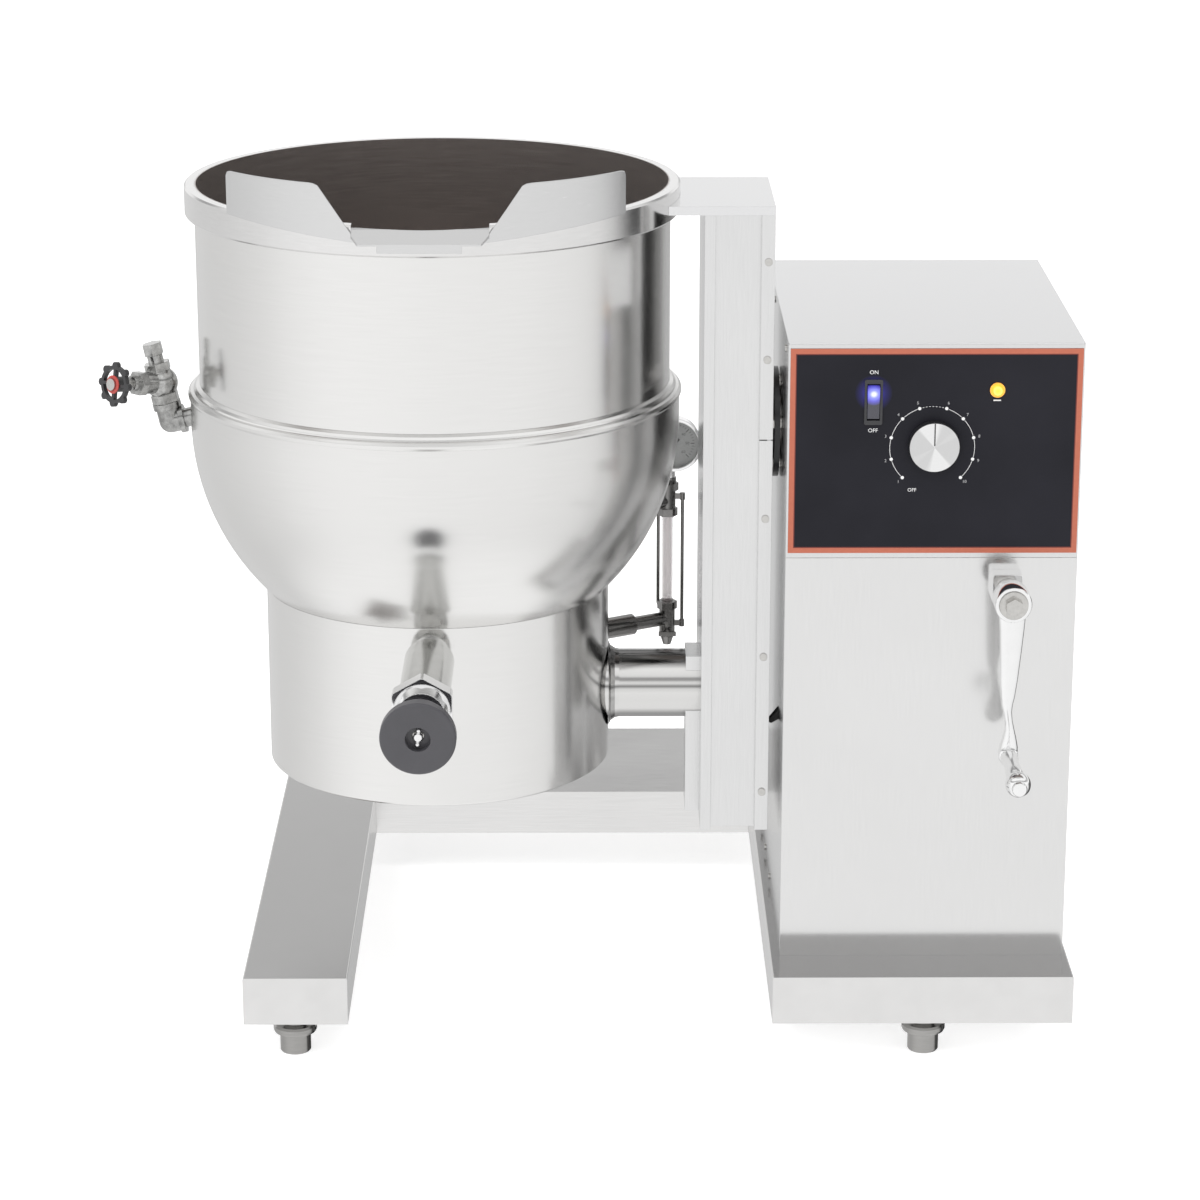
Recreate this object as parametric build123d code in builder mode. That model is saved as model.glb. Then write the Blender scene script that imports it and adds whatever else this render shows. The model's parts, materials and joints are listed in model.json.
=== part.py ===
# Steam jacketed kettle: tilting bowl in a half jacket, carried by a column and a trunnion shaft in a control console,
# on a floor stand with levelling feet.  Millimetres, +Z up, front towards -Y.
# All shapes are drawn about the kettle's own axis (x = y = 0, floor at z = 0) and shifted on export, so that the
# origin is the bottom centre of the whole machine.
from build123d import *
from math import sin, cos, tan, radians, pi, sqrt, atan2, degrees, acos
import os

os.makedirs("parts", exist_ok=True)

# ---------------------------------------------------------------- driving dimensions
SHIFT_X, SHIFT_Y = -165.4, -96.35    # kettle axis in the exported frame
# kettle
BOWL_R, BOWL_T = 254.0, 2.3          # 508 mm inside diameter
BOWL_RO = BOWL_R + BOWL_T
RIM_Z = 935.0
SPH_Z = 675.0                        # centre of the hemispherical bottom
RIM_R, RIM_H = 266.6, 32.0
JACK_R, JACK_T = 267.0, 3.0
JACK_TOP = 702.0
HOUS_R, HOUS_T, HOUS_Z0 = 189.5, 1.5, 286.0
SUMP_R, SUMP_Z0 = 113.0, 330.0
LIP_H = 41.0
LIP_X, LIP_W = -3.0, 70.0             # middle and half width of the pouring notch
# tilt axis
TRUN_Z = 666.0
SHAFT_R, SHAFT_RI = 30.0, 22.0
# column
COL_X0, COL_X1, COL_Y, COL_Z0, COL_Z1 = 290.9, 365.8, 84.4, 219.0, 919.0
COND_Z, COND_R = 364.0, 38.1
# console
CON_X0, CON_X1, CON_Y0, CON_Y1, CON_Z0, CON_Z1 = 377.3, 689.0, -155.7, 270.3, 97.9, 789.6
SHEET = 1.5
PANEL_Z = 555.0                      # joint between the control panel and the lower front panel
# base
BASE_Z0, BASE_Z1, BASE_T = 43.8, 97.9, 2.5
LEG_X0, LEG_X1 = -209.6, -95.8
PLAT_X0, PLAT_X1 = 367.0, 694.5
BASE_Y0, BASE_Y1, CROSS_Y0 = -218.5, 614.7, 373.7
FOOT_X, FOOT_Y = (-156.0, 535.0), (-184.0, 580.0)
# tilt gear
MODULE, WHEEL_N, WORM_R = 4.0, 57, 26.0
WHEEL_R = MODULE * WHEEL_N / 2       # 114
CRANK_X = 613.0
CRANK_Z = TRUN_Z - WHEEL_R - WORM_R  # 526
LEAD = pi * MODULE
HUB_Y = -243.0
ARM_L = 168.0
# draw-off
DO_P = Vector(-1.5, -188.0, 458.0)
DO_A = radians(4.0)
DO_D = Vector(-0.018, -cos(DO_A), -sin(DO_A)).normalized()
SPOUT, KNOB_S = 95.0, 232.0           # outlet spout and knob face along the draw-off
# fill valve
FV_P = Vector(-266.0, 0, 672.5)
FV_A = radians(12.0)
FV_U = Vector(-cos(FV_A), 0, -sin(FV_A))
FV_V = Vector(-sin(FV_A), 0, cos(FV_A))
# gauge and sight glass
SG_X, SG_Y = 258.6, 150.0
SG_R = sqrt(SG_X**2 + SG_Y**2)
SG_D = Vector(SG_X / SG_R, SG_Y / SG_R, 0)
GAUGE = Vector(266.0, 150.0, 602.0)

LOW = (Align.CENTER, Align.CENTER, Align.MIN)


def blk(x0, x1, y0, y1, z0, z1, mode=Mode.ADD):
    with Locations(((x0 + x1) / 2, (y0 + y1) / 2, (z0 + z1) / 2)):
        Box(x1 - x0, y1 - y0, z1 - z0, mode=mode)


def rod(p, d, r, length, mode=Mode.ADD):
    with Locations(Plane(origin=p, z_dir=d)):
        Cylinder(r, length, align=LOW, mode=mode)


def cone(p, d, r0, r1, length, mode=Mode.ADD):
    with Locations(Plane(origin=p, z_dir=d)):
        Cone(r0, r1, length, align=LOW, mode=mode)


def save(builder, label):
    builder.part.label = label
    moved = Pos(SHIFT_X, SHIFT_Y, 0) * builder.part
    moved.label = label
    export_step(moved, "parts/" + label + ".step")


X, Y, Z = Vector(1, 0, 0), Vector(0, 1, 0), Vector(0, 0, 1)

# ================================================================ base
with BuildPart() as left_leg:
    blk(LEG_X0, LEG_X1, BASE_Y0, BASE_Y1, BASE_Z0, BASE_Z1)
    fillet(left_leg.edges().filter_by(Axis.Y).group_by(Axis.Z)[-1], 2.0)
    blk(LEG_X0 + BASE_T, LEG_X1 - BASE_T, BASE_Y0 + BASE_T, BASE_Y1 - BASE_T, BASE_Z0 - 1, BASE_Z1 - BASE_T, Mode.SUBTRACT)
    for fy in FOOT_Y:
        blk(LEG_X0 + BASE_T, LEG_X1 - BASE_T, fy - 34, fy + 32, BASE_Z0, BASE_Z0 + 8)
        rod((FOOT_X[0], fy, BASE_Z0 - 1), Z, 8.0, 20, Mode.SUBTRACT)
save(left_leg, "left_leg")

with BuildPart() as right_platform:
    blk(PLAT_X0, PLAT_X1, BASE_Y0, BASE_Y1, BASE_Z0, BASE_Z1)
    fillet(right_platform.edges().filter_by(Axis.Y).group_by(Axis.Z)[-1], 2.0)
    blk(PLAT_X0 + BASE_T, PLAT_X1 - BASE_T, BASE_Y0 + BASE_T, BASE_Y1 - BASE_T, BASE_Z0 - 1, BASE_Z1 - BASE_T, Mode.SUBTRACT)
    for fy in FOOT_Y:
        blk(PLAT_X0 + BASE_T, PLAT_X1 - BASE_T, fy - 34, fy + 32, BASE_Z0, BASE_Z0 + 8)
        rod((FOOT_X[1], fy, BASE_Z0 - 1), Z, 8.0, 20, Mode.SUBTRACT)
save(right_platform, "right_platform")

with BuildPart() as rear_crossmember:
    blk(LEG_X1, PLAT_X0, CROSS_Y0, BASE_Y1, BASE_Z0, BASE_Z1)
    blk(LEG_X1 - 1, PLAT_X0 + 1, CROSS_Y0 + BASE_T, BASE_Y1 - BASE_T, BASE_Z0 - 1, BASE_Z1 - BASE_T, Mode.SUBTRACT)
save(rear_crossmember, "rear_crossmember")

with BuildPart() as levelling_feet:
    for fx in FOOT_X:
        for fy in FOOT_Y:
            with BuildSketch(Plane(origin=(fx, fy, 0), x_dir=X, z_dir=(0, -1, 0))):
                with BuildLine():
                    Polyline((0, 0), (16, 0), (17, 1.5), (17, 21), (23, 23.5), (24, 26), (24, 30), (22, 32.5), (15, 34), (14, 36), (14, 43.8), (8, 43.8), (8, 84), (0, 84), (0, 0))
                make_face()
            revolve(axis=Axis((fx, fy, 0), (0, 0, 1)))
save(levelling_feet, "levelling_feet")

# ================================================================ console
with BuildPart() as console_shell:
    blk(CON_X0, CON_X1, CON_Y0 + SHEET, CON_Y1, CON_Z0, CON_Z1 - SHEET)
    fillet(console_shell.edges().filter_by(Axis.Z), 2.5)
    blk(CON_X0 + SHEET, CON_X1 - SHEET, CON_Y0 + 2 * SHEET, CON_Y1 - SHEET, CON_Z0 - 1, CON_Z1 + 1, Mode.SUBTRACT)
    blk(CON_X0 + 16, CON_X1 - 16, CON_Y0, CON_Y0 + 3 * SHEET, CON_Z0 - 1, CON_Z1 + 1, Mode.SUBTRACT)
    rod((CON_X0 - 2, 0, TRUN_Z), X, 46, 6, Mode.SUBTRACT)
    rod((640, CON_Y1 - 4, 165), Y, 16, 8, Mode.SUBTRACT)
    for k in range(7):
        blk(450, 610, CON_Y1 - 4, CON_Y1 + 4, 600 + 18 * k, 605 + 18 * k, Mode.SUBTRACT)
save(console_shell, "console_shell")

with BuildPart() as console_top:
    blk(CON_X0, CON_X1, CON_Y0, CON_Y1, CON_Z1 - SHEET, CON_Z1)
    fillet(console_top.edges().filter_by(Axis.Z), 2.0)
    blk(CON_X0 + SHEET + 0.2, CON_X1 - SHEET - 0.2, CON_Y0 + 2 * SHEET + 0.2, CON_Y1 - SHEET - 0.2, CON_Z1 - 14, CON_Z1 - SHEET)
    blk(CON_X0 + 2 * SHEET + 0.2, CON_X1 - 2 * SHEET - 0.2, CON_Y0 + 3 * SHEET + 0.2, CON_Y1 - 2 * SHEET - 0.2, CON_Z1 - 15, CON_Z1 - SHEET, Mode.SUBTRACT)
save(console_top, "console_top")

ROCK = (467.5, 726.0)
DIAL = (532.2, 679.0)
LAMP = (597.8, 739.0)
with BuildPart() as control_panel:
    blk(CON_X0, CON_X1, CON_Y0, CON_Y0 + SHEET, PANEL_Z, CON_Z1 - SHEET)
    blk(ROCK[0] - 8, ROCK[0] + 8, CON_Y0 - 1, CON_Y0 + 3, ROCK[1] - 21, ROCK[1] + 21, Mode.SUBTRACT)
    rod((DIAL[0], CON_Y0 - 1, DIAL[1]), Y, 5, 4, Mode.SUBTRACT)
    rod((LAMP[0], CON_Y0 - 1, LAMP[1]), Y, 6, 4, Mode.SUBTRACT)
save(control_panel, "control_panel")

OV_Y = CON_Y0 - 0.8
with BuildPart() as control_overlay:
    blk(379.5, 687.4, OV_Y, CON_Y0, 560.5, 783.6)
    blk(ROCK[0] - 8, ROCK[0] + 8, CON_Y0 - 2, CON_Y0 + 1, ROCK[1] - 21, ROCK[1] + 21, Mode.SUBTRACT)
    rod((DIAL[0], CON_Y0 - 2, DIAL[1]), Y, 5, 4, Mode.SUBTRACT)
    rod((LAMP[0], CON_Y0 - 2, LAMP[1]), Y, 6, 4, Mode.SUBTRACT)
save(control_overlay, "control_overlay")

with BuildPart() as lower_front_panel:
    blk(CON_X0, CON_X1, CON_Y0, CON_Y0 + SHEET, CON_Z0, PANEL_Z - 0.3)
    blk(CRANK_X - 13, CRANK_X + 13, CON_Y0 - 1, CON_Y0 + 3, CRANK_Z - 13, CRANK_Z + 13, Mode.SUBTRACT)
    blk(CON_X0, CON_X1, CON_Y0 + SHEET, CON_Y0 + 2.7, CON_Z0 + 240, CON_Z0 + 240.1, Mode.SUBTRACT)
save(lower_front_panel, "lower_front_panel")

# trunnion stand: base plate, two box posts
PX0, PX1, QX0, QX1 = 404.0, 446.0, 645.0, 673.0
POST_Z = TRUN_Z - 60
with BuildPart() as trunnion_stand:
    blk(395, 682, -112, 112, CON_Z0, CON_Z0 + 6)
    blk(PX0, PX1, -70, 70, CON_Z0 + 6, POST_Z)
    blk(PX0 + 4, PX1 - 4, -71, 71, CON_Z0 + 10, POST_Z - 6, Mode.SUBTRACT)
    blk(QX0, QX1, -110, 110, CON_Z0 + 6, POST_Z)
    blk(QX0 + 4, QX1 - 4, -111, 111, CON_Z0 + 10, POST_Z - 6, Mode.SUBTRACT)
save(trunnion_stand, "trunnion_stand")

# pillow blocks for the trunnion shaft and two flanged bearings for the worm shaft
with BuildPart() as tilt_bearings:
    for x0, x1 in ((PX0 + 1, PX1 - 1), (QX0 + 1, QX1 - 1)):
        xm = (x0 + x1) / 2
        blk(x0, x1, -68, 68, POST_Z, POST_Z + 14)
        rod((x0, 0, TRUN_Z), X, 48, x1 - x0)
        blk(x0, x1, -48, 48, POST_Z + 10, TRUN_Z)
        rod((x0 - 1, 0, TRUN_Z), X, SHAFT_R + 0.05, x1 - x0 + 2, Mode.SUBTRACT)
        for s in (-1, 1):
            rod((xm, s * 58, POST_Z + 14), Z, 8, 8)
    for y0 in (-108.0, 90.0):
        blk(CRANK_X - 22, QX0, y0, y0 + 18, CRANK_Z - 24, CRANK_Z + 24)
        rod((CRANK_X, y0 - 1, CRANK_Z), Y, 12.05, 20, Mode.SUBTRACT)
save(tilt_bearings, "tilt_bearings")

with BuildPart() as crank_bearing_block:
    blk(CRANK_X - 16, CRANK_X + 16, CON_Y0 - 22, CON_Y0, CRANK_Z - 16, CRANK_Z + 16)
    fillet(crank_bearing_block.edges().filter_by(Axis.Y), 3)
    blk(CRANK_X - 12.9, CRANK_X + 12.9, CON_Y0, CON_Y0 + 12, CRANK_Z - 12.9, CRANK_Z + 12.9)
    rod((CRANK_X, CON_Y0 - 24, CRANK_Z), Y, 12.05, 40, Mode.SUBTRACT)
save(crank_bearing_block, "crank_bearing_block")

with BuildPart() as thermostat_body:
    blk(DIAL[0] - 26, DIAL[0] + 26, CON_Y0 + SHEET, CON_Y0 + 34, DIAL[1] - 28, DIAL[1] + 28)
    fillet(thermostat_body.edges().filter_by(Axis.Y), 4)
    rod((DIAL[0], CON_Y0 + SHEET, DIAL[1]), -Y, 3.0, 10)
save(thermostat_body, "thermostat_body")

with BuildPart() as rocker_bezel:
    blk(ROCK[0] - 9.6, ROCK[0] + 9.6, OV_Y - 1.8, OV_Y, ROCK[1] - 24.5, ROCK[1] + 24.5)
    fillet(rocker_bezel.edges().filter_by(Axis.Y), 2)
    blk(ROCK[0] - 7.9, ROCK[0] + 7.9, OV_Y, CON_Y0 + 24, ROCK[1] - 20.9, ROCK[1] + 20.9)
    blk(ROCK[0] - 6.9, ROCK[0] + 6.9, OV_Y - 3, CON_Y0 + 14, ROCK[1] - 19.8, ROCK[1] + 19.8, Mode.SUBTRACT)
save(rocker_bezel, "rocker_bezel")

with BuildPart() as rocker_switch:
    with BuildSketch(Plane(origin=(ROCK[0], 0, 0), x_dir=Y, z_dir=X)):
        with BuildLine():
            Polyline((OV_Y - 1.2, ROCK[1] - 18.0), (OV_Y - 2.6, ROCK[1]), (OV_Y - 6.0, ROCK[1] + 16.3), (OV_Y + 2.0, ROCK[1] + 17.8), (OV_Y + 9.0, ROCK[1] + 3), (OV_Y + 9.0, ROCK[1] - 3), (OV_Y + 2.5, ROCK[1] - 18.0), (OV_Y - 1.2, ROCK[1] - 18.0))
        make_face()
    extrude(amount=6.3, both=True)
save(rocker_switch, "rocker_switch")

with BuildPart() as pilot_lamp:
    rod((LAMP[0], OV_Y, LAMP[1]), -Y, 8.0, 1.6)
    with Locations(Plane(origin=(LAMP[0], OV_Y - 1.6, LAMP[1]), z_dir=-Y)):
        Cone(6.6, 4.6, 4.2, align=LOW)
    rod((LAMP[0], OV_Y, LAMP[1]), Y, 5.9, 26)
save(pilot_lamp, "pilot_lamp")

with BuildPart() as power_gland:
    rod((640, CON_Y1 - SHEET, 165), -Y, 20, 6)
    rod((640, CON_Y1 - SHEET - 1, 165), Y, 15.9, 4)
    rod((640, CON_Y1, 165), Y, 21, 9)
    with BuildSketch(Plane(origin=(640, CON_Y1 + 9, 165), z_dir=Y)):
        RegularPolygon(20, 6)
    extrude(amount=12)
    rod((640, CON_Y1 - 30, 165), Y, 10.0, 70, Mode.SUBTRACT)
save(power_gland, "power_gland")

with BuildPart() as console_screws:
    for y, z in ((60, 108), (155, 108), (240, 108), (240, 700), (120, 776), (-120, 776)):
        rod((CON_X0, y, z), -X, 4.0, 2.0)
    for x in (395, 533, 671):
        rod((x, CON_Y1, 776), Y, 4.0, 2.0)
        rod((x, CON_Y1, 112), Y, 4.0, 2.0)
save(console_screws, "console_screws")

with BuildPart() as tilt_bumper:
    with BuildSketch(Plane(origin=(0, -56, 0), x_dir=X, z_dir=-Y)):
        with BuildLine():
            Polyline((CON_X0, 355), (CON_X0, 343), (369.5, 338.5), (366.9, 339.5), (366.9, 342), (CON_X0, 355))
        make_face()
    extrude(amount=11)
save(tilt_bumper, "tilt_bumper")

# ================================================================ controls that move
with BuildPart() as thermostat_knob:
    rod((DIAL[0], OV_Y - 1.0, DIAL[1]), -Y, 27.0, 10.0)
    fillet(thermostat_knob.edges().group_by(Axis.Y)[0], 0.8)
    rod((DIAL[0], OV_Y - 0.5, DIAL[1]), -Y, 3.05, 8.5, Mode.SUBTRACT)
    blk(DIAL[0] - 0.6, DIAL[0] + 0.6, OV_Y - 12, OV_Y - 10.5, DIAL[1] + 2, DIAL[1] + 26, Mode.SUBTRACT)
save(thermostat_knob, "thermostat_knob")

# worm shaft: plain journals with one right-hand thread around the middle
with BuildPart() as worm_shaft:
    rod((CRANK_X, HUB_Y + 6, CRANK_Z), Y, 12.0, 112 - HUB_Y - 6)
    rod((CRANK_X, 64, CRANK_Z), Y, 18.0, 24)
    rod((CRANK_X, -88, CRANK_Z), Y, 18.0, 20)
WORM_L, WORM_E, WORM_C = 96.0, 3.9, WORM_R - 1.2
a0 = radians(90 - 360 * (WORM_L / 2) / LEAD)
thread = Solid.extrude_linear_with_rotation(
    Wire([Edge.make_circle(WORM_C, Plane(origin=(WORM_E * cos(a0), WORM_E * sin(a0), 0)))]),
    center=(0, 0, 0), normal=(0, 0, WORM_L), angle=360.0 * WORM_L / LEAD)
thread = Plane(origin=(CRANK_X, -WORM_L / 2, CRANK_Z), x_dir=(1, 0, 0), z_dir=(0, 1, 0)) * thread
with BuildPart() as worm_full:
    add(worm_shaft.part)
    add(thread)
save(worm_full, "worm_shaft")

with BuildPart() as crank_arm:
    rod((CRANK_X, HUB_Y + 6, CRANK_Z), Y, 19.5, 30)
    with BuildSketch(Plane(origin=(CRANK_X, HUB_Y + 11, CRANK_Z), x_dir=X, z_dir=Y)):
        with BuildLine():
            Polyline((-16, 4), (16, 4), (8.0, ARM_L), (-8.0, ARM_L), (-16, 4))
        make_face()
    extrude(amount=10)
    rod((CRANK_X, HUB_Y + 7, CRANK_Z - ARM_L), Y, 12.0, 18)
    rod((CRANK_X, HUB_Y - 92, CRANK_Z - ARM_L), Y, 5.0, 100)
    rod((CRANK_X, HUB_Y - 97, CRANK_Z - ARM_L), Y, 8.0, 5)
    rod((CRANK_X, HUB_Y, CRANK_Z), Y, 12.0, 40, Mode.SUBTRACT)
save(crank_arm, "crank_arm")

with BuildPart() as crank_bolt:
    rod((CRANK_X, HUB_Y + 4, CRANK_Z), Y, 15.0, 2)
    with BuildSketch(Plane(origin=(CRANK_X, HUB_Y + 4, CRANK_Z), z_dir=-Y)):
        RegularPolygon(9.6, 6)
    extrude(amount=7)
save(crank_bolt, "crank_bolt")

with BuildPart() as crank_grip:
    with BuildSketch(Plane(origin=(CRANK_X, 0, CRANK_Z - ARM_L), x_dir=X, z_dir=Z)):
        with BuildLine():
            g = HUB_Y - 91.5
            Polyline((5.08, g), (11, g), (13.5, g + 5), (14, g + 11), (11.5, g + 18), (9.5, g + 28), (10.5, g + 60), (9.5, g + 88), (8, g + 96), (5.08, g + 96), (5.08, g))
        make_face()
    revolve(axis=Axis((CRANK_X, 0, CRANK_Z - ARM_L), (0, 1, 0)))
save(crank_grip, "crank_grip")

# ================================================================ kettle
sphere_c = (0, 0, SPH_Z)


def arc_pts(r, a_from, a_to, n=1):
    m = (a_from + a_to) / 2
    return [(r * sin(radians(a)), SPH_Z - r * cos(radians(a))) for a in (a_from, m, a_to)]


# the bowl is a hemisphere welded to a straight wall
with BuildPart() as kettle_bowl:
    with BuildSketch(Plane.XZ):
        with BuildLine():
            Line((BOWL_R, SPH_Z), (BOWL_RO, SPH_Z))
            ThreePointArc(*arc_pts(BOWL_RO, 90, 0))
            Line((0, SPH_Z - BOWL_RO), (0, SPH_Z - BOWL_R))
            ThreePointArc(*arc_pts(BOWL_R, 0, 90))
        make_face()
    revolve(axis=Axis.Z)
    rod(DO_P - DO_D * 100, DO_D, 21.0, 120, Mode.SUBTRACT)
save(kettle_bowl, "kettle_bowl")

with BuildPart() as bowl_wall:
    with Locations((0, 0, SPH_Z)):
        Cylinder(BOWL_RO, RIM_Z - SPH_Z, align=LOW)
        Cylinder(BOWL_R, RIM_Z - SPH_Z, align=LOW, mode=Mode.SUBTRACT)
    blk(LIP_X - LIP_W, LIP_X + LIP_W, -280, -200, 923.0, RIM_Z + 1, Mode.SUBTRACT)
save(bowl_wall, "bowl_wall")

with BuildPart() as rim_band:
    with BuildSketch(Plane.XZ):
        with BuildLine():
            Polyline((BOWL_RO, RIM_Z - RIM_H), (RIM_R - 2, RIM_Z - RIM_H), (RIM_R, RIM_Z - RIM_H + 2), (RIM_R, RIM_Z - 2), (RIM_R - 2, RIM_Z), (BOWL_RO, RIM_Z), (BOWL_RO, RIM_Z - RIM_H))
        make_face()
    revolve(axis=Axis.Z)
    blk(LIP_X - LIP_W, LIP_X + LIP_W, -280, -200, 923.0, RIM_Z + 1, Mode.SUBTRACT)
save(rim_band, "rim_band")

# pouring lip: two curved guards welded over the rim band and a sloping tongue between them
LIP_T = RIM_Z + LIP_H
with BuildPart() as pouring_lip:
    for t in (-1, 1):
        with BuildSketch(Plane.XZ):
            with BuildLine():
                Polyline((LIP_X + t * 63.5, 917.5), (LIP_X + t * 100.5, LIP_T - 6.5), (LIP_X + t * 103.5, LIP_T - 2.4), (LIP_X + t * 108, LIP_T - 0.5), (LIP_X + t * 113, LIP_T),
                         (t * 201, LIP_T), (t * 204.6, LIP_T - 1.6), (t * 206, LIP_T - 5), (t * 206, 931.0), (LIP_X + t * 63.5, 917.5))
            make_face()
        extrude(amount=300)
    with Locations((0, 0, 905)):
        Cylinder(RIM_R + 2.0, 90, align=LOW, mode=Mode.INTERSECT)
        Cylinder(RIM_R, 90, align=LOW, mode=Mode.SUBTRACT)
    with BuildSketch(Plane(origin=(LIP_X, 0, 0), x_dir=Y, z_dir=X)):
        with BuildLine():
            Polyline((-245, 930.5), (-252, 930.0), (-285, 921.3), (-285, 912.0), (-283.2, 912.0), (-283.2, 919.4), (-267, 923.0), (-245, 923.0), (-245, 930.5))
        make_face()
    extrude(amount=LIP_W, both=True)
    for t in (-1, 1):
        with BuildSketch(Plane.XY.offset(900)):
            with BuildLine():
                Polyline((LIP_X + t * LIP_W, -264.5), (LIP_X + t * 62, -286), (LIP_X + t * 80, -286), (LIP_X + t * 80, -264.5), (LIP_X + t * LIP_W, -264.5))
            make_face()
        extrude(amount=40, mode=Mode.SUBTRACT)
        blk(LIP_X + t * 62 - 19, LIP_X + t * 62 + 19, -287, -282, 905, 919.3, Mode.SUBTRACT)
    with Locations((0, 0, 900)):
        Cylinder(BOWL_R, 60, align=LOW, mode=Mode.SUBTRACT)
save(pouring_lip, "pouring_lip")

JI = JACK_R - JACK_T
sump_i = SUMP_R - 3
a_s = degrees(acos(sqrt(JACK_R**2 - SUMP_R**2) / JACK_R))
a_i = degrees(acos(sqrt(JI**2 - sump_i**2) / JI))
a_t = 90 + degrees(atan2(JACK_TOP - SPH_Z, JACK_R))
with BuildPart() as jacket_shell:
    with BuildSketch(Plane.XZ):
        with BuildLine():
            Line((JI, SPH_Z), (JI, JACK_TOP))
            Line((JI, JACK_TOP), (JACK_R, JACK_TOP))
            Line((JACK_R, JACK_TOP), (JACK_R, SPH_Z))
            ThreePointArc(*arc_pts(JACK_R, 90, a_s))
            Line((SUMP_R, SPH_Z - JACK_R * cos(radians(a_s))), (SUMP_R, SUMP_Z0 + 8))
            Line((SUMP_R, SUMP_Z0 + 8), (sump_i, SUMP_Z0 + 8))
            Line((sump_i, SUMP_Z0 + 8), (sump_i, SPH_Z - JI * cos(radians(a_i))))
            ThreePointArc(*arc_pts(JI, a_i, 90))
        make_face()
    revolve(axis=Axis.Z)
    rod(DO_P - DO_D * 90, DO_D, 21.0, 110, Mode.SUBTRACT)
    rod(FV_P - FV_U * 20, FV_U, 10.5, 40, Mode.SUBTRACT)
    rod((0, 238, 664), Y, 10.5, 50, Mode.SUBTRACT)
    rod(SG_D * 215 + Z * 535, SG_D, 8.0, 60, Mode.SUBTRACT)
    rod(SG_D * 90 + Z * 393, SG_D, 8.0, 60, Mode.SUBTRACT)
save(jacket_shell, "jacket_shell")

# closing ring between the upper wall and the jacket, with a double bead
with BuildPart() as jacket_ring:
    with BuildSketch(Plane.XZ):
        with BuildLine():
            Polyline((BOWL_RO, JACK_TOP), (JACK_R + 0.5, JACK_TOP), (JACK_R + 2.2, JACK_TOP + 2.5), (JACK_R + 2.0, JACK_TOP + 5.0),
                     (JACK_R - 0.6, JACK_TOP + 7.6), (JACK_R - 4.0, JACK_TOP + 8.6), (JACK_R - 4.6, JACK_TOP + 10.4),
                     (JACK_R - 6.6, JACK_TOP + 13.0), (JACK_R - 9.8, JACK_TOP + 14.8), (BOWL_RO, JACK_TOP + 15.4), (BOWL_RO, JACK_TOP))
        make_face()
    revolve(axis=Axis.Z)
save(jacket_ring, "jacket_ring")

# bottom plate of the water sump with three hairpin heating elements
with BuildPart() as sump_flange:
    rod((0, 0, SUMP_Z0), Z, SUMP_R + 14, 8)
    for k in range(3):
        with Locations(Plane.XY.offset(SUMP_Z0) * Location((0, 0, 0), (0, 0, 120 * k)) * Location((58, 0, -1))):
            with Locations((0, 12, 0), (0, -12, 0)):
                Cylinder(6.0, 10, align=LOW, mode=Mode.SUBTRACT)
save(sump_flange, "sump_flange")

with BuildPart() as heating_elements:
    for k in range(3):
        c, s_ = cos(radians(120 * k)), sin(radians(120 * k))
        p0 = Vector(58 * c - 12 * s_, 58 * s_ + 12 * c, 0)
        p1 = Vector(58 * c + 12 * s_, 58 * s_ - 12 * c, 0)
        for p in (p0, p1):
            rod(p + Z * (SUMP_Z0 - 22), Z, 6.0, 22 + 62)
        mid = Vector(58 * c, 58 * s_, SUMP_Z0 + 62)
        with BuildSketch(Plane(origin=p0 + Z * (SUMP_Z0 + 62), z_dir=Z)):
            Circle(6.0)
        revolve(axis=Axis(mid, (c, s_, 0)), revolution_arc=180)
save(heating_elements, "heating_elements")

h_top = SPH_Z - sqrt(JACK_R**2 - HOUS_R**2) - 0.12
h_in = SPH_Z - sqrt(JACK_R**2 - (HOUS_R - HOUS_T) ** 2) - 0.12
with BuildPart() as element_housing:
    with BuildSketch(Plane.XZ):
        with BuildLine():
            Polyline((HOUS_R - HOUS_T, HOUS_Z0 + 2), (HOUS_R - 2, HOUS_Z0), (HOUS_R, HOUS_Z0 + 2), (HOUS_R, h_top), (HOUS_R - HOUS_T, h_in), (HOUS_R - HOUS_T, HOUS_Z0 + 2))
        make_face()
    revolve(axis=Axis.Z)
    rod(DO_P - DO_D * 60, DO_D, 21.0, 100, Mode.SUBTRACT)
    rod((150, 0, COND_Z), X, COND_R, 60, Mode.SUBTRACT)
    rod(SG_D * 160 + Z * 393, SG_D, 8.0, 60, Mode.SUBTRACT)
save(element_housing, "element_housing")

with BuildPart() as housing_cover:
    rod((0, 0, HOUS_Z0 + 3), Z, HOUS_R - HOUS_T - 0.1, 1.5)
    rod((0, 0, HOUS_Z0 + 4.5), Z, HOUS_R - HOUS_T - 0.1, 12)
    rod((0, 0, HOUS_Z0 + 4.5), Z, HOUS_R - HOUS_T - 1.7, 13, Mode.SUBTRACT)
    for k in range(6):
        a = radians(60 * k + 30)
        rod((150 * cos(a), 150 * sin(a), HOUS_Z0 + 3), -Z, 4, 2)
save(housing_cover, "housing_cover")

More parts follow.
